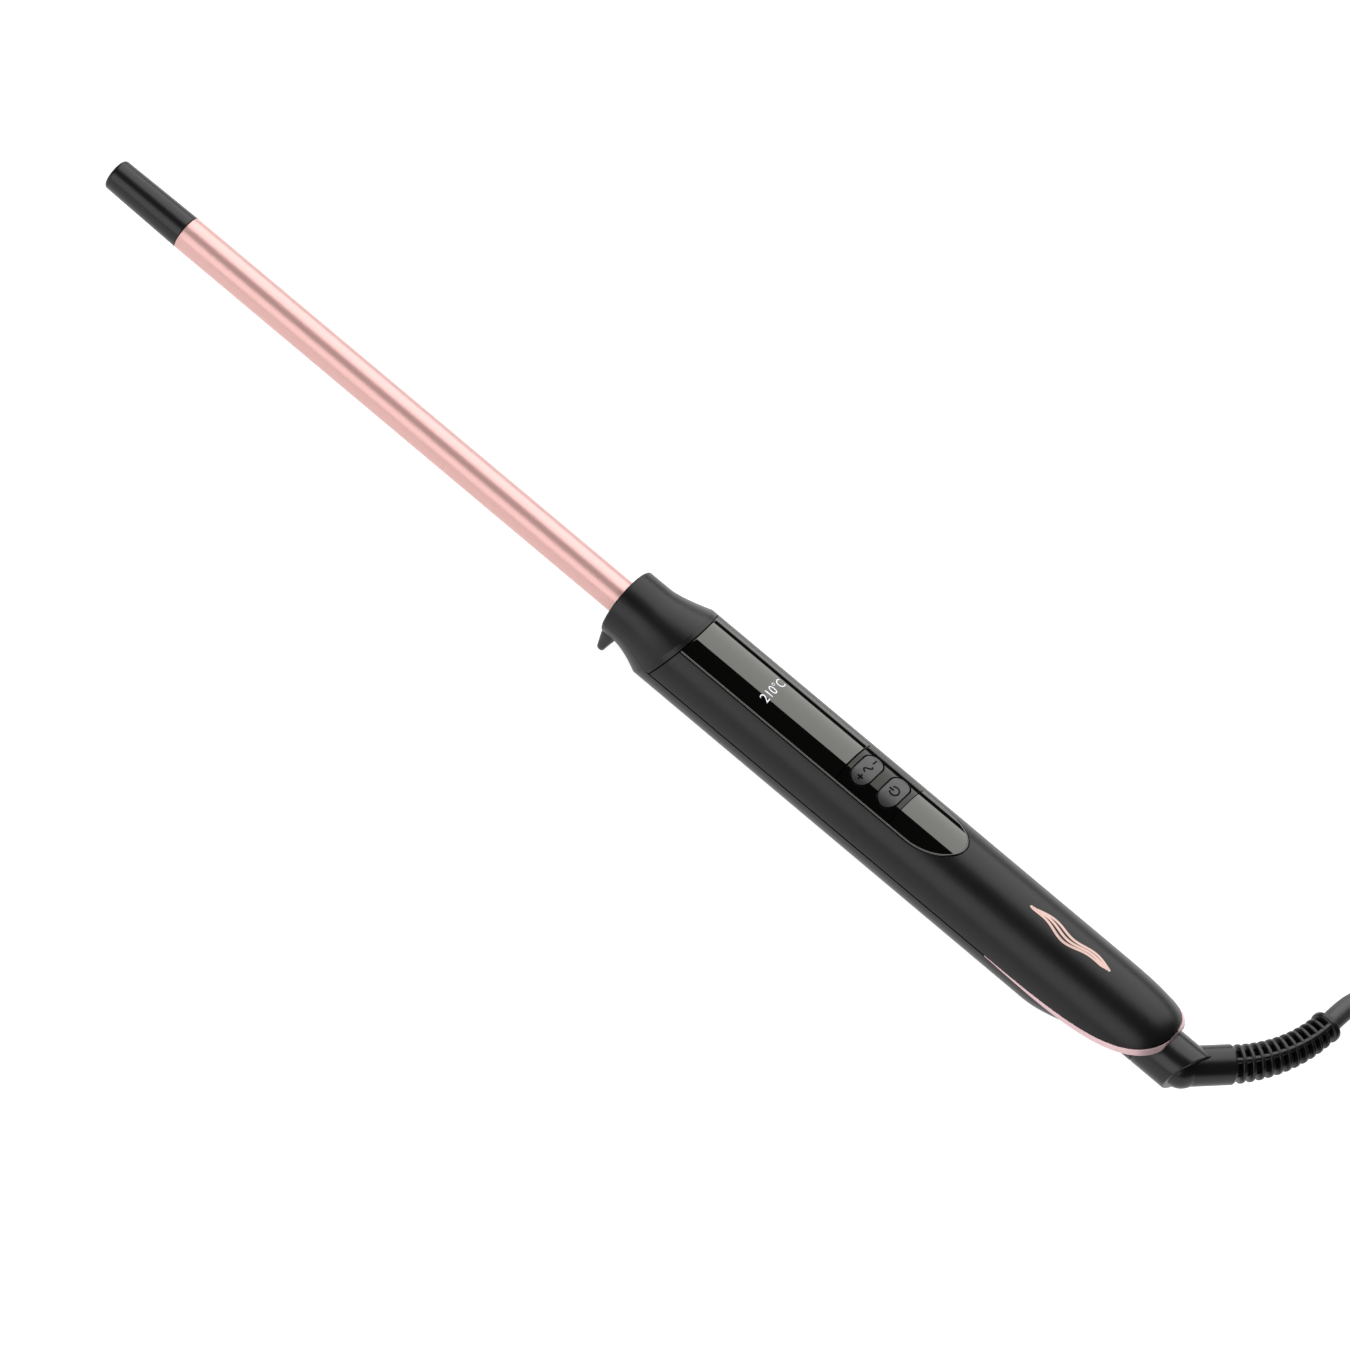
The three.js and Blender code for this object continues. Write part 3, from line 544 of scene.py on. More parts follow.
cord = {
    "radius": 3.0, "length": 2.45, "centre": (310, 46), "run": 96, "fold": 18, "lane": 6, "layer": 6.0,
    "waist": 15, "tieLift": 1.5, "spacing": 3.0, "sides": 14, "settling": 120,
    # (lane, layer) of each turn: in and out again, one layer above the other
    "turns": [(1, 0), (0, 0), (0, 1), (1, 1), (1, 2), (0, 2), (0, 3)],
    "freePoints": [
        (0.21262, 0.0409, 0.0132), (0.2127, 0.0458, 0.0131), (0.2132, 0.0512, 0.0125),
        (0.2147, 0.0566, 0.0112), (0.2175, 0.0614, 0.0094), (0.2219, 0.0654, 0.0073),
        (0.228, 0.0682, 0.0054), (0.2354, 0.0697, 0.0039), (0.244, 0.070, 0.0031), (0.2535, 0.070, 0.003),
    ],
    "tailPoints": [
        (0.262, 0.064, 0.0212), (0.271, 0.0624, 0.0224), (0.281, 0.058, 0.0256), (0.291, 0.0526, 0.0294),
        (0.301, 0.0484, 0.0318), (0.310, 0.0464, 0.0325), (0.319, 0.046, 0.0326),
    ],
}


def waistShare(x):
    share = min(1, max(0, (x - cord["centre"][0]) / cord["run"] + 0.5))
    return math.sin(math.pi * share) ** 2


def hankTurn(this, following):
    # one turn: far run, fold, near run, and the fold in which it moves over to the next turn's place
    cx, cy = cord["centre"]
    half = cord["run"] / 2
    radius = cord["fold"] + cord["lane"] * this[0]
    height = cord["radius"] + cord["layer"] * this[1]
    points = []

    def onRun(x, side):
        pull = waistShare(x)
        return (x, cy + side * (radius - cord["waist"] * pull), height + cord["tieLift"] * pull)

    for step in range(8):
        points.append(onRun(cx - half + cord["run"] * step / 8, 1))
    for step in range(6):
        angle = math.pi / 2 - math.pi * step / 6
        points.append((cx + half + radius * math.cos(angle), cy + radius * math.sin(angle), height))
    for step in range(8):
        points.append(onRun(cx + half - cord["run"] * step / 8, -1))
    for step in range(8):
        share = step / 8
        eased = share * share * (3 - 2 * share)
        wide = radius + (following[0] - this[0]) * cord["lane"] * eased
        high = height + (following[1] - this[1]) * cord["layer"] * eased
        angle = -math.pi / 2 - math.pi * share
        points.append((cx - half + wide * math.cos(angle), cy + wide * math.sin(angle), high))
    return points


def settleTurns(line, fixedStart, fixedEnd):
    # pushes turns that touch apart, spreads each push along the cord and keeps it on the surface
    reach = 2 * cord["radius"] * mm
    gap = cord["spacing"] * mm
    count = len(line)
    index = np.arange(count)
    apart = np.abs(index[:, None] - index[None, :]) > 2 * reach / gap
    free = ((index > fixedStart) & (index < count - fixedEnd)).astype(float)[:, None]
    start = line.copy()
    for _ in range(cord["settling"]):
        across = line[:, None, :] - line[None, :, :]
        distance = np.linalg.norm(across, axis=2)
        close = apart & (distance < reach)
        push = np.where(close, (reach - distance) / np.maximum(distance, 1e-6), 0)[:, :, None] * across
        line = line + free * 0.35 * push.sum(axis=1)
        moved = line - start
        middle = (np.roll(moved, 1, axis=0) + np.roll(moved, -1, axis=0)) / 2
        middle[0], middle[-1] = moved[0], moved[-1]
        line = line + free * 0.5 * (middle - moved)
        line[:, 2] = np.maximum(line[:, 2], cord["radius"] * mm)
    return line


def makeCord():
    points = list(cord["freePoints"])
    turns = cord["turns"]
    for this, following in zip(turns, turns[1:] + turns[-1:]):
        points += [(x * mm, y * mm, z * mm) for x, y, z in hankTurn(this, following)]
    points += cord["tailPoints"]
    line = smoothLine(points, cord["spacing"] * mm)
    line = settleTurns(line, 26, 12)
    sheath = sweptTube("cord_sheath", line, lambda share: cord["radius"] * mm, "cord", cord["sides"])
    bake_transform(sheath)
    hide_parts("cord_lead", "cord_hank", "cord_tail")
    return sheath, line


cordPiece, cordLine = makeCord()
print("cord made,", round(float(np.linalg.norm(np.diff(cordLine, axis=0), axis=1).sum()), 3), "m long")


tie = {"width": 8, "thickness": 1.2, "halfWidth": 12.15, "height": 25.9, "corner": 2.5, "softEdge": 0.3}


def roundedLoop(halfWidth, low, high, corner, steps=6):
    # corners of a rounded rectangle in (across, height)
    centres = [(halfWidth - corner, high - corner, 0), (corner - halfWidth, high - corner, 90),
               (corner - halfWidth, low + corner, 180), (halfWidth - corner, low + corner, 270)]
    loop = []
    for y, z, fromAngle in centres:
        for step in range(steps + 1):
            angle = math.radians(fromAngle + 90 * step / steps)
            loop.append((y + corner * math.cos(angle), z + corner * math.sin(angle)))
    return loop


def makeTie():
    cx, cy = cord["centre"]
    thick = tie["thickness"]
    outer = roundedLoop(tie["halfWidth"] + thick, 0, tie["height"] + thick, tie["corner"] + thick * 0.6)
    inner = roundedLoop(tie["halfWidth"], thick, tie["height"], tie["corner"])
    points = []
    for loop, x in ((outer, -0.5), (outer, 0.5), (inner, 0.5), (inner, -0.5)):
        points += [((cx + x * tie["width"]) * mm, (cy + y) * mm, z * mm) for y, z in loop]
    strap = makePiece("cord_tie_strap", points, ringFaces(4, len(outer), True), "tie")
    softenEdges(strap, tie["softEdge"])
    belongs(strap, "handle", "cord_rubber", "cord_tie")
    return strap


plug = {
    "softEdge": 0.8, "gripRidges": 5, "ridge": 0.5, "sleeve": 10, "pinRadius": 2.0, "tipRound": 0.8,
    # along, half width, half thickness
    "sections": [(0, 4.0, 3.8), (3, 5.2, 4.6), (9, 8.2, 5.6), (15, 10.8, 6.0), (20, 12.0, 6.1),
                 (33.5, 12.4, 6.1), (35, 12.0, 5.8)],
    "gripFrom": 5, "gripTo": 17, "squareness": 0.6,
}


def plugHalves(along):
    stations = [s[0] for s in plug["sections"]]
    return (np.interp(along, stations, [s[1] for s in plug["sections"]]),
            np.interp(along, stations, [s[2] for s in plug["sections"]]))


def makePlug():
    low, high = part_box("plug_body")
    centre = (low + high) / 2 / mm
    length = (high.x - low.x) / mm
    steps, sides = 44, 40
    start, grip, square = plug["gripFrom"], plug["gripTo"] - plug["gripFrom"], plug["squareness"]
    points = []
    for i in range(steps + 1):
        along = length * i / steps
        wide, tall = plugHalves(along)
        wave = plug["ridge"] * (0.5 - 0.5 * math.cos(2 * math.pi * plug["gripRidges"] * (along - start) / grip))
        shrink = wave if 0 < along - start < grip else 0
        for step in range(sides):
            angle = 2 * math.pi * step / sides
            c, s = math.cos(angle), math.sin(angle)
            y = (wide - shrink) * math.copysign(abs(c) ** square, c)
            z = (tall - shrink * 0.4) * math.copysign(abs(s) ** square, s)
            points.append((low.x + along * mm, (centre.y + y) * mm, (centre.z + z) * mm))
    faces = ringFaces(steps + 1, sides)
    faces += [tuple(range(sides)), tuple(range(steps * sides, (steps + 1) * sides))]
    body = makePiece("plug_moulding", points, faces, "plug", 40)
    softenEdges(body, plug["softEdge"], 3)
    belongs(body, "handle", "plug_black", "plug_body")
    return body


def makePin(side):
    # a round pin with its insulating sleeve next to the plug
    low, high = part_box("plug_pin_" + side)
    centre = (low + high) / 2 / mm
    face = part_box("plug_body")[1].x / mm
    tip = high.x / mm
    radius, tipRound = plug["pinRadius"], plug["tipRound"]
    pieces = []
    sleeveEnd, sleeveRadius = face + plug["sleeve"], radius * 0.97
    sleeve = [(face - 3, 0), (face - 3, sleeveRadius), (sleeveEnd, sleeveRadius), (sleeveEnd, 0)]
    end = [(tip - tipRound + x, r) for x, r in arcPoints((0, radius - tipRound), tipRound, 90, 0, 5)]
    metal = [(sleeveEnd + 0.02, 0), (sleeveEnd + 0.02, radius), *end, (tip, 0)]
    for name, outline, finish in (("plug_sleeve_", sleeve, "plug"), ("plug_metal_", metal, "pin")):
        piece = turnedPiece(name + side, [(x - noseFront, r) for x, r in outline], finish, 32)
        piece.data.transform(Matrix.Translation((0, centre.y * mm, (centre.z - axisHeight) * mm)))
        pieces.append(piece)
    belongs(pieces[0], "handle", "plug_black")
    belongs(pieces[1], "handle", "pin_metal", "plug_pin_" + side)
    return pieces


tieStrap = makeTie()
plugPieces = [makePlug(), *makePin("left"), *makePin("right")]
print("tie and plug made")


def backRadius(u):
    past = min(0.9999, max(0, u - backStart) / handle["backReach"])
    return handle["radius"] * (1 - past**4) ** 0.25


def bellyRadius(u):
    taperStart = neckEnd - handle["neckLength"] - handle["bellyTaper"]
    share = min(1, max(0, (u - taperStart) / handle["bellyTaper"]))
    return handle["radius"] + (handle["neckRadius"] - handle["radius"]) * share * share * (3 - 2 * share)


def rimHeight(u):
    return handle["rimRise"] * (max(0, u - rimStart) / handle["rimSpan"]) ** handle["rimPower"]


def bandDepth(u):
    grown = min(1, max(0, (u - rimStart) / handle["bandGrowth"]))
    return handle["bandWidth"] * math.sin(grown * math.pi / 2)


def crossing(gap):
    # where the band's edge that lies gap(u) under the rim line meets the top of the back
    low, high = backStart, backStart + handle["backReach"] * 0.95
    for _ in range(40):
        middle = (low + high) / 2
        if backRadius(middle) > rimHeight(middle) - gap(middle):
            low = middle
        else:
            high = middle
    return low


visorEnd = crossing(lambda u: 0)
bandEnd = crossing(bandDepth)


def loftShell(name, rows, columns, point, finish, sharpAngle=32):
    # rows form a closed loop from the outside round to the inside; columns run from one edge to the other
    across = len(columns)
    points = [point(row, column) for row in rows for column in columns]
    faces = ringFaces(len(rows), across, True, False)
    for j in (0, across - 1):
        faces.append(tuple(k * across + j for k in range(len(rows))))
    return makePiece(name, inFrame(points), faces, finish, sharpAngle)


def spread(low, high, count):
    return [low + (high - low) * i / count for i in range(count + 1)]


# front of the nose, from the barrel hole round its edge to the end of the flare: (along, radius, lean)
def noseRows():
    edge = handle["noseEdge"]
    rows = [(handle["noseWall"], handle["barrelHole"], 0), (0, handle["barrelHole"] + 0.25, 0)]
    rows += [(u, r, 0) for u, r in arcPoints((edge, handle["noseRadius"] - edge), edge, 180, 90, 8)]
    start, end = handle["flareFrom"], handle["flareTo"]
    growth = handle["radius"] - handle["noseRadius"]
    for share in spread(0, 1, 4)[:-1]:
        rows.append((2.4 + (start - 2.4) * share, handle["noseRadius"], handle["startLean"] * share))
    for share in spread(0, 1, 14):
        radius = handle["noseRadius"] + growth * share ** handle["flarePower"]
        lean = handle["startLean"] + (handle["endLean"] - handle["startLean"]) * share
        rows.append((start + (end - start) * share, radius, lean))
    return rows


def makeNose():
    seam, lean = handle["seamAt"], handle["seamLean"]
    inner = handle["radius"] - handle["wall"]
    bore = handle["noseRadius"] - handle["noseWall"]
    rows = noseRows() + [(seam, handle["radius"], lean), (seam, inner, lean),
                         (handle["flareTo"] - 1, bore, 0.2), (handle["noseWall"], bore, 0)]
    edge = math.asin(handle["noseGap"] / handle["noseRadius"])

    def point(row, share):
        u, radius, leaning = row
        angle = (share - 0.5) * (math.pi - 2 * edge)
        z = radius * math.cos(angle)
        return (u + leaning * z, radius * math.sin(angle), z)

    nose = loftShell("nose_shell", rows, spread(0, 1, handle["columns"]), point, "soft", handle["crease"])
    softenEdges(nose, handle["softEdge"])
    belongs(nose, "handle", "soft_black", "nose_cover")


panel = {
    "halfWidth": 8.0, "groove": 0.32, "depth": 1.45, "apex": 116.5, "round": 14,
    "lensEdge": 0.42, "thickness": 1.2, "rimRadius": 0.3, "rimReach": 0.06, "rimSink": 0.2,
    "frontEnd": 77.5, "bezelEnd": 96.4, "joint": 0.12,
}


def panelHalf(u, grow=0.0):
    past = (u - (panel["apex"] - panel["round"])) / (panel["round"] + grow)
    if past <= 0:
        return panel["halfWidth"] + grow
    return (panel["halfWidth"] + grow) * math.sqrt(max(0, 1 - past * past))


def panelStations(start, grow=0.0):
    # along the straight part, then closer together round the end
    bend = panel["apex"] - panel["round"]
    steps = [bend + (panel["round"] + grow) * math.sin(math.pi / 2 * i / 16) for i in range(1, 17)]
    return spread(start, bend, 16) + steps


def makeUpper():
    grow = panel["groove"]
    wall = handle["wall"]
    start = handle["seamAt"] + handle["seamGap"] + 0.1
    outer = [(u, True) for u in panelStations(start, grow)]
    apex = outer[-1][0]
    outer += [(u, False) for u in spread(apex, rimStart, 4) + spread(rimStart, backStart, 14)[1:]]
    turns = [math.sin(math.pi / 2 * i / 22) for i in range(1, 23)]
    outer += [(backStart + (visorEnd - backStart) * share, False) for share in turns]
    rows = [(u, pocket, True) for u, pocket in outer]
    inner = [start, 60, apex, rimStart] + spread(rimStart + 8, visorEnd, 10)
    rows += [(u, False, False) for u in reversed(inner)]

    def leanAt(u):
        return handle["seamLean"] * max(0, 1 - (u - start) / 24)

    def point(row, column):
        u, pocket, outside = row
        group, share = column
        edgeHeight = handle["seamGap"] + rimHeight(u)
        back = backRadius(u)
        r = back if outside else max(back - wall, min(back, edgeHeight))
        edge = math.acos(min(1, edgeHeight / r))
        window = math.asin(panelHalf(u, grow) / back) if pocket else 0
        window = window if outside else math.asin(min(0.6, panelHalf(u) / back)) * (1 if u < apex - 1 else 0)
        window = min(window, edge)
        if group == 0:
            angle = window * (2 * share - 1)
            r = r - panel["depth"] if pocket and outside else r
        else:
            angle = group * (window + (edge - window) * (share if group > 0 else 1 - share))
        z = r * math.cos(angle)
        return (u + leanAt(u) * z, r * math.sin(angle), z)

    side = [(-1, s) for s in spread(0, 1, 18)]
    columns = side + [(0, s) for s in spread(0, 1, 16)] + [(1, s) for s in spread(0, 1, 18)]
    shell = loftShell("upper_shell", rows, columns, point, "soft")
    softenEdges(shell, handle["softEdge"])
    belongs(shell, "handle", "soft_black", "upper_housing")


leg = {"spread": 7.8, "squareness": 0.7, "sides": 28,
       # height above the axis, front and rear of the leg, half its width
       "sections": [(-13.2, 1.1, 2.5, 0.75), (-13.05, 0.85, 2.75, 1.0), (-12.6, 0.65, 2.95, 1.15),
                    (-11, 0.5, 3.35, 1.2), (-9, 0.35, 3.9, 1.2), (-7, 0.2, 4.5, 1.2), (-5, 0.15, 5.0, 1.2),
                    (-3.6, 0.5, 5.2, 0.9)]}


def makeLeg(side):
    points = []
    sides, square = leg["sides"], leg["squareness"]
    for height, front, rear, half in leg["sections"]:
        middle, reach = (front + rear) / 2, (rear - front) / 2
        for step in range(sides):
            angle = 2 * math.pi * step / sides
            c, s = math.cos(angle), math.sin(angle)
            points.append((middle + reach * math.copysign(abs(c) ** square, c),
                           side * leg["spread"] + half * math.copysign(abs(s) ** square, s), height))
    rows = len(leg["sections"])
    faces = ringFaces(rows, sides)
    faces += [tuple(range(sides)), tuple(range((rows - 1) * sides, rows * sides))]
    return makePiece("leg", inFrame(points), faces, "soft")


screw = {"places": [27, 101, 152], "headRadius": 2.4, "holeRadius": 2.7, "seat": -10.0,
         "headHeight": 1.6, "recess": 0.9, "slot": 0.32}


def makeLower():
    tail = spread(rimStart, neckEnd, 26)
    flareTo = handle["flareTo"]
    middle = ((flareTo + 0.9, 0.4), (flareTo + 1.4, 0.4), (30, 0.2), (45, 0), (80, 0), (110, 0),
              (rimStart - 3, 0))
    outer = noseRows() + [(u, bellyRadius(u), lean) for u, lean in middle]
    outer += [(u, bellyRadius(u), 0) for u in tail]
    bore = handle["noseRadius"] - handle["noseWall"]
    inner = [(u, max(bellyRadius(u) - 1.9, handle["neckRadius"] - 1.2), 0) for u in reversed(tail)]
    inner += [(handle["seamAt"] + 4, handle["radius"] - handle["wall"], 0), (handle["flareTo"] - 1, bore, 0),
              (handle["noseWall"], bore, 0)]

    def point(row, share):
        u, radius, leaning = row
        gap = handle["noseGap"] if u < handle["flareTo"] + 1 else handle["seamGap"]
        edgeHeight = rimHeight(u) - bandDepth(u) - gap
        edge = math.acos(max(-1, min(1, -edgeHeight / radius)))
        angle = (2 * share - 1) * edge
        z = -radius * math.cos(angle)
        return (u + leaning * z, radius * math.sin(angle), z)

    shell = loftShell("lower_shell", outer + inner, spread(0, 1, handle["columns"]), point, "soft",
                      handle["crease"])
    for side in (-1, 1):
        combine(shell, makeLeg(side), "UNION")
    for at in screw["places"]:
        seat, holeRadius = screw["seat"], screw["holeRadius"]
        outline = [(-15, 0), (-15, holeRadius), (seat, holeRadius), (seat, 0)]
        hole = turnedPiece("hole", outline, "soft", 40)
        centre = Vector(inFrame([(0, 0, 0)])[0])
        stand = Matrix.Translation(Vector(inFrame([(at, 0, 0)])[0])) @ Matrix.Rotation(-math.pi / 2, 4, "Y")
        hole.data.transform(stand @ Matrix.Translation(-centre))
        combine(shell, hole, "DIFFERENCE")
    softenEdges(shell, handle["softEdge"])
    belongs(shell, "handle", "soft_black", "lower_housing")


def makeBand():
    # a U of satin metal between the shells: each row of four points runs from its thin tip round the rear
    rows = []
    count = 40
    for side in (-1, 1):
        half = []
        for i in range(count + 1):
            share = math.sin(math.pi / 2 * i / count)
            row = []
            for end, depthAt in ((visorEnd, lambda u: 0), (bandEnd, bandDepth)):
                u = rimStart + 1 + (end - rimStart - 1) * share
                radius = backRadius(u) + handle["bandProud"] * share**3
                overlap = handle["bandOverlap"] * (1 if end == visorEnd else -1)
                height = min(radius, rimHeight(u) - depthAt(u) + overlap)
                y = math.sqrt(max(0, radius**2 - height**2))
                thick = 1.2 if u < 160 else 2.2
                inset = max(0, 1 - thick / radius)
                lowered = height - radius * (1 - inset) * 0.35
                row.append([(u, side * y, height), (u, side * y * inset, lowered)])
            (topOuter, topInner), (lowOuter, lowInner) = row
            half.append([topOuter, lowOuter, lowInner, topInner])
        rows += half if side < 0 else list(reversed(half))[1:]
    points = [p for row in rows for p in row]
    faces = ringFaces(len(rows), 4)
    faces += [(0, 1, 2, 3), tuple(len(points) - 4 + j for j in range(4))]
    band = makePiece("trim_strip", inFrame(points), faces, "trim")
    softenEdges(band, 0.16)
    belongs(band, "handle", "rose_trim", "trim_band")


makeNose()
makeUpper()
makeLower()
makeBand()
print("shells made, visor ends at", round(visorEnd, 2), "band at", round(bandEnd, 2))


barrel = {"radius": 5.0, "wall": 0.8, "edge": 0.15, "seam": 0.12,
          "tipEndRadius": 4.65, "tipSeamRadius": 5.0, "tipEdge": 1.2}


def makeBarrel():
    low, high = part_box("barrel_tube")
    start, end = low.x / mm - noseFront, high.x / mm - noseFront
    radius, inner, edge = barrel["radius"], barrel["radius"] - barrel["wall"], barrel["edge"]
    outline = [(start, inner), (start, radius - edge), (start + edge * 0.3, radius - edge * 0.3),
               (start + edge, radius)]
    outline += [(u, radius) for u in spread(start + 4, end - 1, 12)]
    outline += [(end, radius), (end, inner)]
    tube = turnedPiece("barrel_sleeve", outline, "barrel", 128)
    belongs(tube, "handle", "rose_coating", "barrel_tube")


def makeTip():
    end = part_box("cool_tip")[0].x / mm - noseFront
    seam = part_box("barrel_tube")[0].x / mm - noseFront - barrel["seam"]
    edge = barrel["tipEdge"]
    outline = [(end, 0), (end, barrel["tipEndRadius"] - edge - 1)]
    outline += arcPoints((end + edge, barrel["tipEndRadius"] - edge), edge, 180, 95, 8)
    outline += [(seam - 1, barrel["tipSeamRadius"] - 0.02), (seam - 0.15, barrel["tipSeamRadius"]),
                (seam, barrel["tipSeamRadius"] - 0.15), (seam, 4.05), (seam + 9, 4.05), (seam + 9, 0)]
    cap = turnedPiece("tip_cap", outline, "tip", 96)
    belongs(cap, "handle", "soft_black", "cool_tip")


makeBarrel()
makeTip()
print("barrel and tip made")


def lensPiece(name, start, end, leaning, node):
    top = handle["radius"]
    stations = [u for u in panelStations(handle["seamAt"]) if start < u < end]
    stations = [start] + stations + [end]
    rows = [(u, top) for u in stations] + [(u, top - panel["thickness"]) for u in reversed(stations)]

    def point(row, share):
        u, radius = row
        angle = math.asin(panelHalf(u) / top) * (2 * share - 1)
        z = radius * math.cos(angle)
        lean = handle["seamLean"] * max(0, 1 - (u - handle["seamAt"]) / 24) if leaning else 0
        return (u + lean * z, radius * math.sin(angle), z)

    lens = loftShell(name, rows, spread(0, 1, 40), point, "gloss" if node != "button_bezel" else "bezel")
    if node != "button_bezel":
        softenEdges(lens, panel["lensEdge"], 4)
        belongs(lens, "handle", "gloss_black", node)
    return lens


button = {"length": 6.5, "span": 11.1, "proud": 0.05, "gap": 0.1, "inset": -0.35, "stroke": 0.44,
          "inkLift": 0.05, "places": (82.2, 91.6), "edge": 0.2, "depth": 3.2}


def pillOutline(at, grow, steps=18):
    radius = button["length"] / 2 + grow
    reach = (button["span"] - button["length"]) / 2
    loop = []
    for sign in (1, -1):
        for step in range(steps + 1):
            angle = math.pi * step / steps if sign > 0 else math.pi + math.pi * step / steps
            loop.append((at + radius * math.cos(angle), sign * reach + radius * math.sin(angle)))
    return loop


def pillSolid(name, at, grow, low, topAt, finish):
    # rings towards the middle carry the crown's curve
    outline = pillOutline(at, grow)
    count = len(outline)
    points = [(u, y, low) for u, y in outline]
    for share in (1, 0.9, 0.75, 0.5, 0.25):
        for u, y in outline:
            across = y * share
            points.append((at + (u - at) * share, across, topAt(across)))
    points.append((at, 0, topAt(0)))
    faces = [tuple(range(count))] + ringFaces(6, count)
    last = 5 * count
    faces += [(last + step, last + (step + 1) % count, len(points) - 1) for step in range(count)]
    return makePiece(name, inFrame(points), faces, finish)


def makeBezel():
    start, end = panel["frontEnd"] + panel["joint"], panel["bezelEnd"] - panel["joint"]
    bezel = lensPiece("panel_bezel", start, end, False, "button_bezel")
    for at in button["places"]:
        combine(bezel, pillSolid("hole", at, button["gap"], 6, lambda y: 16, "gloss"), "DIFFERENCE")
    softenEdges(bezel, panel["lensEdge"] * 0.6, 3)
    belongs(bezel, "handle", "gloss_black", "button_bezel")


def onCap(points, lift):
    # lays flat (along, across) points on a button's crown
    radius = handle["radius"] + button["proud"] + lift
    return inFrame([(u, y, math.sqrt(radius**2 - y**2)) for u, y in points])


def flatBand(name, line, width, finish, layOut, closed=False):
    # a thin raised line that follows (along, across) points
    line = [Vector(p) for p in line]
    count = len(line)
    left, right = [], []
    for i, at in enumerate(line):
        before = line[i - 1] if i or closed else at
        after = line[(i + 1) % count] if i + 1 < count or closed else at
        run = (after - before).normalized()
        across = Vector((-run.y, run.x)) * width / 2
        left.append(at + across)
        right.append(at - across)
    points = layOut([tuple(p) for p in left], 0) + layOut([tuple(p) for p in right], 0)
    points += layOut([tuple(p) for p in left], -0.12) + layOut([tuple(p) for p in right], -0.12)
    faces = []
    for i in range(count if closed else count - 1):
        j = (i + 1) % count
        for a, b in ((0, 1), (1, 3), (3, 2), (2, 0)):
            faces.append((a * count + i, a * count + j, b * count + j, b * count + i))
    if not closed:
        for i in (0, count - 1):
            faces.append((i, count + i, 3 * count + i, 2 * count + i))
    return makePiece(name, points, faces, finish)


def joined(name, pieces):
    with bpy.context.temp_override(active_object=pieces[0], selected_editable_objects=pieces):
        bpy.ops.object.join()
    pieces[0].name = name
    return pieces[0]


def signStroke(line):
    return flatBand("sign", line, button["stroke"], "sign", lambda p, lift: onCap(p, lift + button["inkLift"]))


def powerSign(at):
    # a broken ring with a bar in its opening, which points towards the tip
    ring = signStroke(arcPoints((at, 0), 1.35, -145, 145, 20))
    bar = signStroke([(at - 1.7, 0), (at - 1, 0), (at - 0.2, 0)])
    return joined("power_sign", [ring, bar])


def temperatureSign(at):
    # plus, wave and minus, from the near side to the far side
    wave = [(at - 0.9 * math.sin(math.pi * s), (s - 0.9) * 1.5) for s in spread(0, 1.8, 20)]
    strips = [[(at - 0.9, -3.2), (at, -3.2), (at + 0.9, -3.2)], [(at, -4.1), (at, -3.2), (at, -2.3)], wave,
              [(at, 2.3), (at, 3.2), (at, 4.1)]]
    return joined("temperature_sign", [signStroke(line) for line in strips])


def makeButtons():
    crown = lambda y: math.sqrt((handle["radius"] + button["proud"]) ** 2 - y * y)
    names = (("temp", temperatureSign), ("power", powerSign))
    for (name, makeSign), at in zip(names, button["places"]):
        low = crown(button["span"] / 2) - button["depth"]
        cap = pillSolid(name + "_button", at, button["inset"], low, crown, "button")
        softenEdges(cap, button["edge"], 3)
        belongs(cap, name + "_button", "button_black", name + "_button_cap")
        belongs(makeSign(at), name + "_button", "button_black")


display = {"text": "210°C", "height": 3.0, "length": 8.4, "at": 48.6, "lift": 0.02, "thinner": -0.006}


def makeDigits():
    font = bpy.data.curves.new("digits", "FONT")
    font.body = display["text"]
    font.align_x = "CENTER"
    font.align_y = "CENTER"
    font.resolution_u = 6
    font.offset = display["thinner"]
    flat = bpy.data.objects.new("digits", font)
    scene.collection.objects.link(flat)
    graph = bpy.context.evaluated_depsgraph_get()
    mesh = bpy.data.meshes.new_from_object(flat.evaluated_get(graph))
    bpy.data.objects.remove(flat)
    spots = np.array([v.co[:2] for v in mesh.vertices])
    low, high = spots.min(0), spots.max(0)
    scale = np.array([display["length"], display["height"]]) / (high - low)
    radius = handle["radius"] + display["lift"]
    for vertex, (x, y) in zip(mesh.vertices, (spots - (low + high) / 2) * scale):
        vertex.co = inFrame([(display["at"] - y, x, math.sqrt(radius**2 - x * x))])[0]
    piece = bpy.data.objects.new("display_digits", mesh)
    scene.collection.objects.link(piece)
    mesh.materials.clear()
    mesh.materials.append(finishes["digits"])
    thick = piece.modifiers.new("ink", "SOLIDIFY")
    thick.thickness = 0.02 * mm
    thick.offset = 1
    belongs(piece, "handle", "gloss_black")


mark = {"from": 140.5, "to": 166.5, "waves": 3, "reach": 0.9, "gap": 1.25, "width": 0.72, "lift": 0.03}


def makeMark():
    # three flowing strands as a plain ornament on the back
    def onBack(points, lift):
        raised = mark["lift"] + lift
        return inFrame([(u, y, math.sqrt((backRadius(u) + raised) ** 2 - y * y)) for u, y in points])

    strands = []
    for index in (-1, 0, 1):
        line = []
        for share in spread(0, 1, 60):
            fade = math.sin(math.pi * share) ** 0.6
            u = mark["from"] + (mark["to"] - mark["from"]) * share + index * 0.8
            swing = math.sin(2 * math.pi * share * mark["waves"] / 2)
            y = index * mark["gap"] * fade + mark["reach"] * fade * swing
            line.append((u, y))
        strands.append(flatBand("strand", line, mark["width"], "print", onBack))
    belongs(joined("rose_ornament", strands), "handle", "rose_trim")


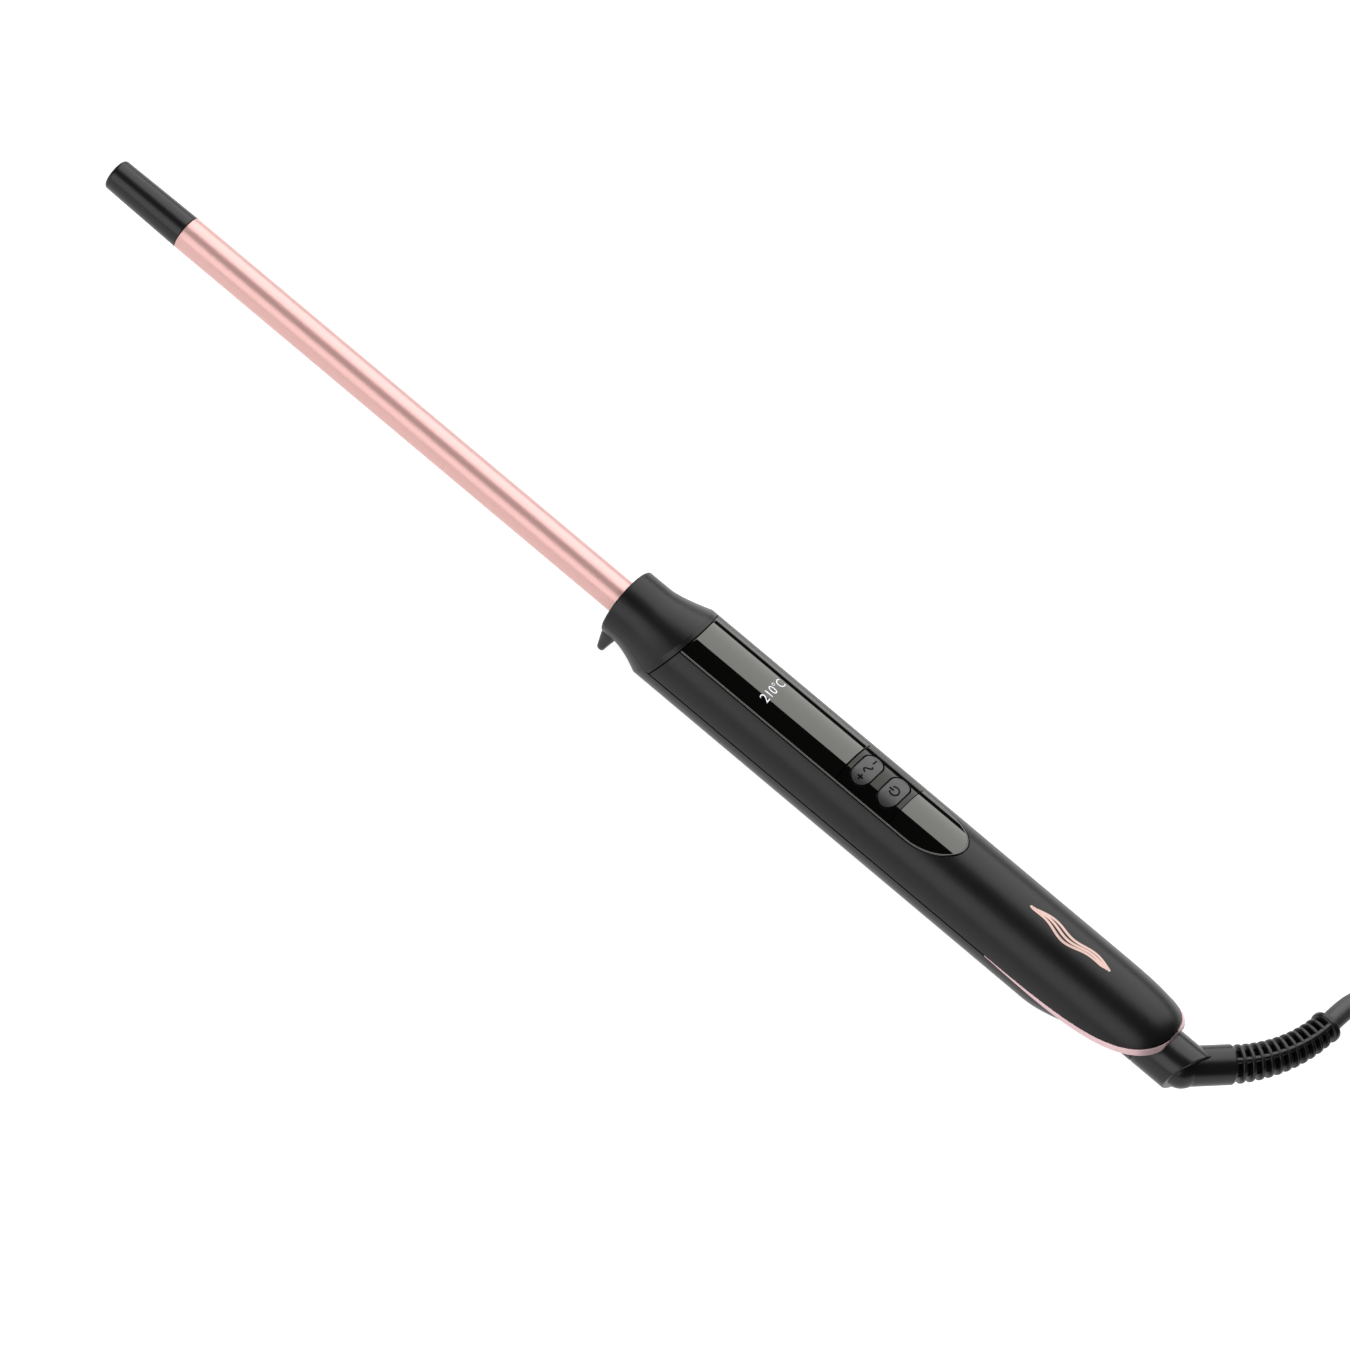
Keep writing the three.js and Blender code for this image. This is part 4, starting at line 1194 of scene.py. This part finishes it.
def makeRim():
    # the panel's rounded edge, from the seam along the near side, round the rear end and back
    inset = panel["rimRadius"] - panel["rimReach"]
    stations = panelStations(handle["seamAt"] + 0.6, -inset)
    half = [(u, panelHalf(u, -inset)) for u in stations]
    outline = [(u, -y) for u, y in half] + [(u, y) for u, y in reversed(half[:-1])]
    radius = handle["radius"] - panel["rimSink"]
    lean = lambda u: handle["seamLean"] * max(0, 1 - (u - handle["seamAt"]) / 24)
    path = []
    for u, y in outline:
        z = math.sqrt(radius**2 - y * y)
        path.append((u + lean(u) * z, y, z))
    rim = sweptTube("panel_rim", inFrame(path), lambda share: panel["rimRadius"] * mm, "rim", 12)
    belongs(rim, "handle", "gloss_black")


makeRim()
lensPiece("front_window", handle["seamAt"] + 0.25, panel["frontEnd"] - panel["joint"], True, "front_lens")
lensPiece("rear_window", panel["bezelEnd"] + panel["joint"], panel["apex"], False, "rear_lens")
makeBezel()
makeButtons()
makeDigits()
makeMark()
print("panel, buttons, digits and ornament made")


elbow = {
    "radius": 7.5, "edge": 0.35, "length": 14, "sideLean": 0.354, "topLean": 0.111, "knuckle": 5.9,
    "branchRadius": 5.5, "branchInset": 2.5, "branchLength": 13.9, "heading": 50, "endHeading": 90,
    "reliefLength": 32.5, "startRadius": 5.4, "endRadius": 4.3, "ribs": 11, "ribWidth": 1.15,
    "ribDepth": 2.2, "core": 0.68, "spineWidth": 1.9, "spineTurn": 17.5, "collar": 2.6,
}


def reliefPoint(distance):
    # centre line of the branch and the relief, by the distance from the swivel's end
    start = math.radians(elbow["heading"])
    bend = elbow["reliefLength"] / math.radians(elbow["endHeading"] - elbow["heading"])
    straight = min(distance, elbow["branchLength"])
    heading = start + max(0, distance - elbow["branchLength"]) / bend
    begin = swivelFront + elbow["length"] - elbow["branchInset"]
    u = begin + straight * math.cos(start) + bend * (math.sin(heading) - math.sin(start))
    y = straight * math.sin(start) - bend * (math.cos(heading) - math.cos(start))
    return u, y, heading


def reliefRadius(distance):
    share = min(1, max(0, (distance - elbow["branchLength"]) / elbow["reliefLength"]))
    return elbow["startRadius"] + (elbow["endRadius"] - elbow["startRadius"]) * share


def reliefLine(low, high, count, up=0.0, aside=0.0):
    # the centre line, or a line beside it that keeps a share of the radius
    points = []
    for distance in spread(low, high, count):
        u, y, heading = reliefPoint(distance)
        radius = reliefRadius(distance)
        shift = aside * radius
        points.append((u + shift * math.sin(heading), y - shift * math.cos(heading), up * radius))
    return inFrame(points)


def makeJoint():
    front, edge, radius = swivelFront, elbow["edge"], elbow["radius"]
    end = front + elbow["length"]
    outline = [(front, 0), (front, radius - edge)]
    outline += arcPoints((front + edge, radius - edge), edge, 180, 90, 4) + [(end - 4.5, radius)]
    outline += arcPoints((end - edge, radius - edge), edge, 90, 0, 4) + [(end, 0)]
    drum = turnedPiece("swivel_joint", outline, "swivel", 96)
    lean = (elbow["sideLean"], elbow["topLean"])
    for vertex in drum.data.vertices:
        # the end face leans back towards the far side
        if vertex.co.x / mm - noseFront > end - 2:
            vertex.co.x += lean[0] * vertex.co.y + lean[1] * (vertex.co.z - axisHeight * mm)
    begin = end - elbow["branchInset"]
    ball = turnedPiece("knuckle", arcPoints((begin, 0), elbow["knuckle"], 180, 0, 24), "swivel", 64)
    combine(drum, ball, "UNION")
    total = elbow["branchLength"] + 0.5
    full = elbow["branchRadius"]
    radii = [np.interp(d, (0, total - 0.5, total), (full, full, full - 0.4)) * mm for d in spread(0, total, 24)]
    path = reliefLine(0, total, 24)
    branch = sweptTube("branch", path, lambda share: radii[round(share * 24)], "swivel", 64)
    combine(drum, branch, "UNION")
    return drum


def ribTree():
    # rings along the relief's centre line, each smaller than the one before
    tree = bpy.data.node_groups.new("relief_ribs", "GeometryNodeTree")
    tree.interface.new_socket("Geometry", in_out="INPUT", socket_type="NodeSocketGeometry")
    for name, kind in (("Ribs", "NodeSocketInt"), ("Ring radius", "NodeSocketFloat"),
                       ("Rib width", "NodeSocketFloat"), ("Rib depth", "NodeSocketFloat"),
                       ("End scale", "NodeSocketFloat")):
        tree.interface.new_socket(name, in_out="INPUT", socket_type=kind)
    tree.interface.new_socket("Geometry", in_out="OUTPUT", socket_type="NodeSocketGeometry")
    add, link = tree.nodes.new, tree.links.new
    given, result = add("NodeGroupInput"), add("NodeGroupOutput")
    places = add("GeometryNodeCurveToPoints")
    link(given.outputs["Geometry"], places.inputs["Curve"])
    link(given.outputs["Ribs"], places.inputs["Count"])
    ring = add("GeometryNodeCurvePrimitiveCircle")
    ring.inputs["Resolution"].default_value = 48
    link(given.outputs["Ring radius"], ring.inputs["Radius"])
    section = add("GeometryNodeCurvePrimitiveQuadrilateral")
    link(given.outputs["Rib depth"], section.inputs["Width"])
    link(given.outputs["Rib width"], section.inputs["Height"])
    rounded = add("GeometryNodeFilletCurve")
    rounded.mode = "POLY"
    rounded.inputs["Count"].default_value = 3
    rounded.inputs["Radius"].default_value = 0.3 * mm
    link(section.outputs["Curve"], rounded.inputs["Curve"])
    solid = add("GeometryNodeCurveToMesh")
    link(ring.outputs["Curve"], solid.inputs["Curve"])
    link(rounded.outputs["Curve"], solid.inputs["Profile Curve"])
    index, count = add("GeometryNodeInputIndex"), add("ShaderNodeMath")
    count.operation = "SUBTRACT"
    count.inputs[1].default_value = 1
    link(given.outputs["Ribs"], count.inputs[0])
    share = add("ShaderNodeMapRange")
    link(index.outputs[0], share.inputs["Value"])
    link(count.outputs[0], share.inputs["From Max"])
    share.inputs["To Min"].default_value = 1
    link(given.outputs["End scale"], share.inputs["To Max"])
    copies = add("GeometryNodeInstanceOnPoints")
    link(places.outputs["Points"], copies.inputs["Points"])
    link(places.outputs["Rotation"], copies.inputs["Rotation"])
    link(solid.outputs["Mesh"], copies.inputs["Instance"])
    link(share.outputs["Result"], copies.inputs["Scale"])
    real, paint = add("GeometryNodeRealizeInstances"), add("GeometryNodeSetMaterial")
    paint.inputs["Material"].default_value = finishes["swivel"]
    link(copies.outputs["Instances"], real.inputs["Geometry"])
    link(real.outputs["Geometry"], paint.inputs["Geometry"])
    link(paint.outputs["Geometry"], result.inputs["Geometry"])
    return tree


def setInputs(modifier, values):
    for item in modifier.node_group.interface.items_tree:
        if item.item_type == "SOCKET" and item.in_out == "INPUT" and item.name in values:
            modifier[item.identifier] = values[item.name]


def curveObject(name, points):
    line = bpy.data.curves.new(name, "CURVE")
    line.dimensions = "3D"
    spline = line.splines.new("POLY")
    spline.points.add(len(points) - 1)
    for spot, at in zip(spline.points, points):
        spot.co = (*at, 1)
    holder = bpy.data.objects.new(name, line)
    scene.collection.objects.link(holder)
    return holder


def grownPiece(name, holder, tree, values, sharpAngle=32):
    # runs a node tree on the holder and keeps the result as a plain mesh
    growth = holder.modifiers.new("growth", "NODES")
    growth.node_group = tree
    setInputs(growth, values)
    graph = bpy.context.evaluated_depsgraph_get()
    mesh = bpy.data.meshes.new_from_object(holder.evaluated_get(graph))
    bpy.data.objects.remove(holder)
    mesh.name = name
    shadeMesh(mesh, sharpAngle)
    piece = bpy.data.objects.new(name, mesh)
    scene.collection.objects.link(piece)
    return piece


def makeRelief():
    start, end = elbow["branchLength"], elbow["branchLength"] + elbow["reliefLength"]
    firstRib, lastRib = start + 2.4, end - elbow["collar"] - 2.0
    ringRadius = (reliefRadius(firstRib) - elbow["ribDepth"] / 2) * mm
    holder = curveObject("relief_line", reliefLine(firstRib, lastRib, 40))
    ribs = grownPiece("relief_ribs", holder, ribTree(), {
        "Ribs": elbow["ribs"], "Ring radius": ringRadius, "Rib width": elbow["ribWidth"] * mm,
        "Rib depth": elbow["ribDepth"] * mm, "End scale": reliefRadius(lastRib) / reliefRadius(firstRib),
    })
    parts = [ribs]
    coreRadius = lambda share: elbow["core"] * reliefRadius(start + share * elbow["reliefLength"]) * mm
    # the core takes the slot finish: its near-black, matte colour is painted shade for the slots between the
    # ribs
    parts.append(sweptTube("core", reliefLine(start - 1, end - 1, 30), coreRadius, "slot", 24))
    inset = 1 - 0.55 * elbow["spineWidth"] / elbow["startRadius"]
    turn = math.radians(elbow["spineTurn"])
    for side in (1, -1):
        reach = side * inset
        line = reliefLine(start - 1, end - 2, 30, reach * math.cos(turn), reach * math.sin(turn))
        parts.append(sweptTube("spine", line, lambda share: elbow["spineWidth"] / 2 * mm, "swivel", 12))
    collarLine = reliefLine(end - elbow["collar"], end, 16)
    widest = (reliefRadius(end) + 0.35) * mm
    bulge = lambda share: widest * math.sqrt(max(0.05, 1 - (2 * share - 1) ** 4 * 0.55))
    parts.append(sweptTube("collar", collarLine, bulge, "swivel", 48))
    return parts


def makeElbow():
    drum = makeJoint()
    relief = joined("strain_relief", makeRelief())
    belongs(drum, "swivel", "swivel_black", "elbow_relief")
    belongs(relief, "swivel", "swivel_black")
    return drum, relief


drum, relief = makeElbow()
print("swivel and strain relief made")


def screwTree(head):
    # the same screw at every point of the mesh it is given
    tree = bpy.data.node_groups.new("screws", "GeometryNodeTree")
    tree.interface.new_socket("Geometry", in_out="INPUT", socket_type="NodeSocketGeometry")
    tree.interface.new_socket("Size", in_out="INPUT", socket_type="NodeSocketFloat")
    tree.interface.new_socket("Geometry", in_out="OUTPUT", socket_type="NodeSocketGeometry")
    add, link = tree.nodes.new, tree.links.new
    given, result = add("NodeGroupInput"), add("NodeGroupOutput")
    source = add("GeometryNodeObjectInfo")
    source.inputs["Object"].default_value = head
    copies = add("GeometryNodeInstanceOnPoints")
    link(given.outputs["Geometry"], copies.inputs["Points"])
    link(source.outputs["Geometry"], copies.inputs["Instance"])
    link(given.outputs["Size"], copies.inputs["Scale"])
    real, paint = add("GeometryNodeRealizeInstances"), add("GeometryNodeSetMaterial")
    paint.inputs["Material"].default_value = finishes["steel"]
    link(copies.outputs["Instances"], real.inputs["Geometry"])
    link(real.outputs["Geometry"], paint.inputs["Geometry"])
    link(paint.outputs["Geometry"], result.inputs["Geometry"])
    return tree


def screwHead():
    # pan head seen from below, with a cross recess, its origin on the seat; millimetres
    work = bmesh.new()
    radius, height = screw["headRadius"], screw["headHeight"]
    sides = 32
    rings = [(radius, 0.0), (radius, -height * 0.55), (radius * 0.86, -height * 0.88),
             (radius * 0.6, -height)]
    loops = []
    turns = [2 * math.pi * i / sides for i in range(sides)]
    for r, z in rings:
        loops.append([work.verts.new((r * math.cos(a), r * math.sin(a), z)) for a in turns])
    for low, high in zip(loops, loops[1:]):
        for i in range(sides):
            work.faces.new((low[i], low[(i + 1) % sides], high[(i + 1) % sides], high[i]))
    work.faces.new(loops[0])
    work.faces.new(loops[-1])
    bmesh.ops.recalc_face_normals(work, faces=work.faces)
    mesh = bpy.data.meshes.new("screw_head")
    work.to_mesh(mesh)
    work.free()
    mesh.transform(Matrix.Scale(mm, 4))
    mesh.materials.append(finishes["steel"])
    head = bpy.data.objects.new("screw_head", mesh)
    scene.collection.objects.link(head)
    reach = radius * 0.62 * mm
    for turn in (0, 90):
        bar = bpy.data.meshes.new("bar")
        work = bmesh.new()
        bmesh.ops.create_cube(work, size=1)
        work.to_mesh(bar)
        work.free()
        size = Matrix.Diagonal((2 * reach, screw["slot"] * 2 * mm, screw["recess"] * 2 * mm, 1))
        place = Matrix.Translation((0, 0, -height * mm)) @ Matrix.Rotation(math.radians(turn), 4, "Z")
        bar.transform(place @ size)
        cutter = bpy.data.objects.new("bar", bar)
        scene.collection.objects.link(cutter)
        combine(head, cutter, "DIFFERENCE")
    return head


def makeScrews():
    head = screwHead()
    seats = bpy.data.meshes.new("screw_seats")
    seats.from_pydata(inFrame([(at, 0, screw["seat"]) for at in screw["places"]]), [], [])
    holder = bpy.data.objects.new("screw_seats", seats)
    scene.collection.objects.link(holder)
    screws = grownPiece("housing_screws", holder, screwTree(head), {"Size": 1.0})
    bpy.data.objects.remove(head)
    belongs(screws, "handle", "steel", "housing_screw_1", "housing_screw_2", "housing_screw_3")


makeScrews()
print("screws made")


innerFinishes = {
    "steel": "steel", "brass": "brass", "aluminium": "aluminium", "ceramic": "ceramic",
    "board_green": "board", "lead_red": "red", "lead_blue": "blue", "inner_black": "inner",
    "rose_coating": "barrel", "rose_trim": "trim",
    "gloss_black": "gloss", "soft_black": "soft", "button_black": "button", "swivel_black": "swivel",
    "cord_rubber": "cord", "plug_black": "plug", "pin_metal": "pin",
}
for entry in frame["record"]["subparts"]:
    node = frame["nodes"][entry["node"]]
    node.data.materials.clear()
    node.data.materials.append(finishes[innerFinishes[entry["material_slot"]]])

[tuple(p) for p in cordLine]
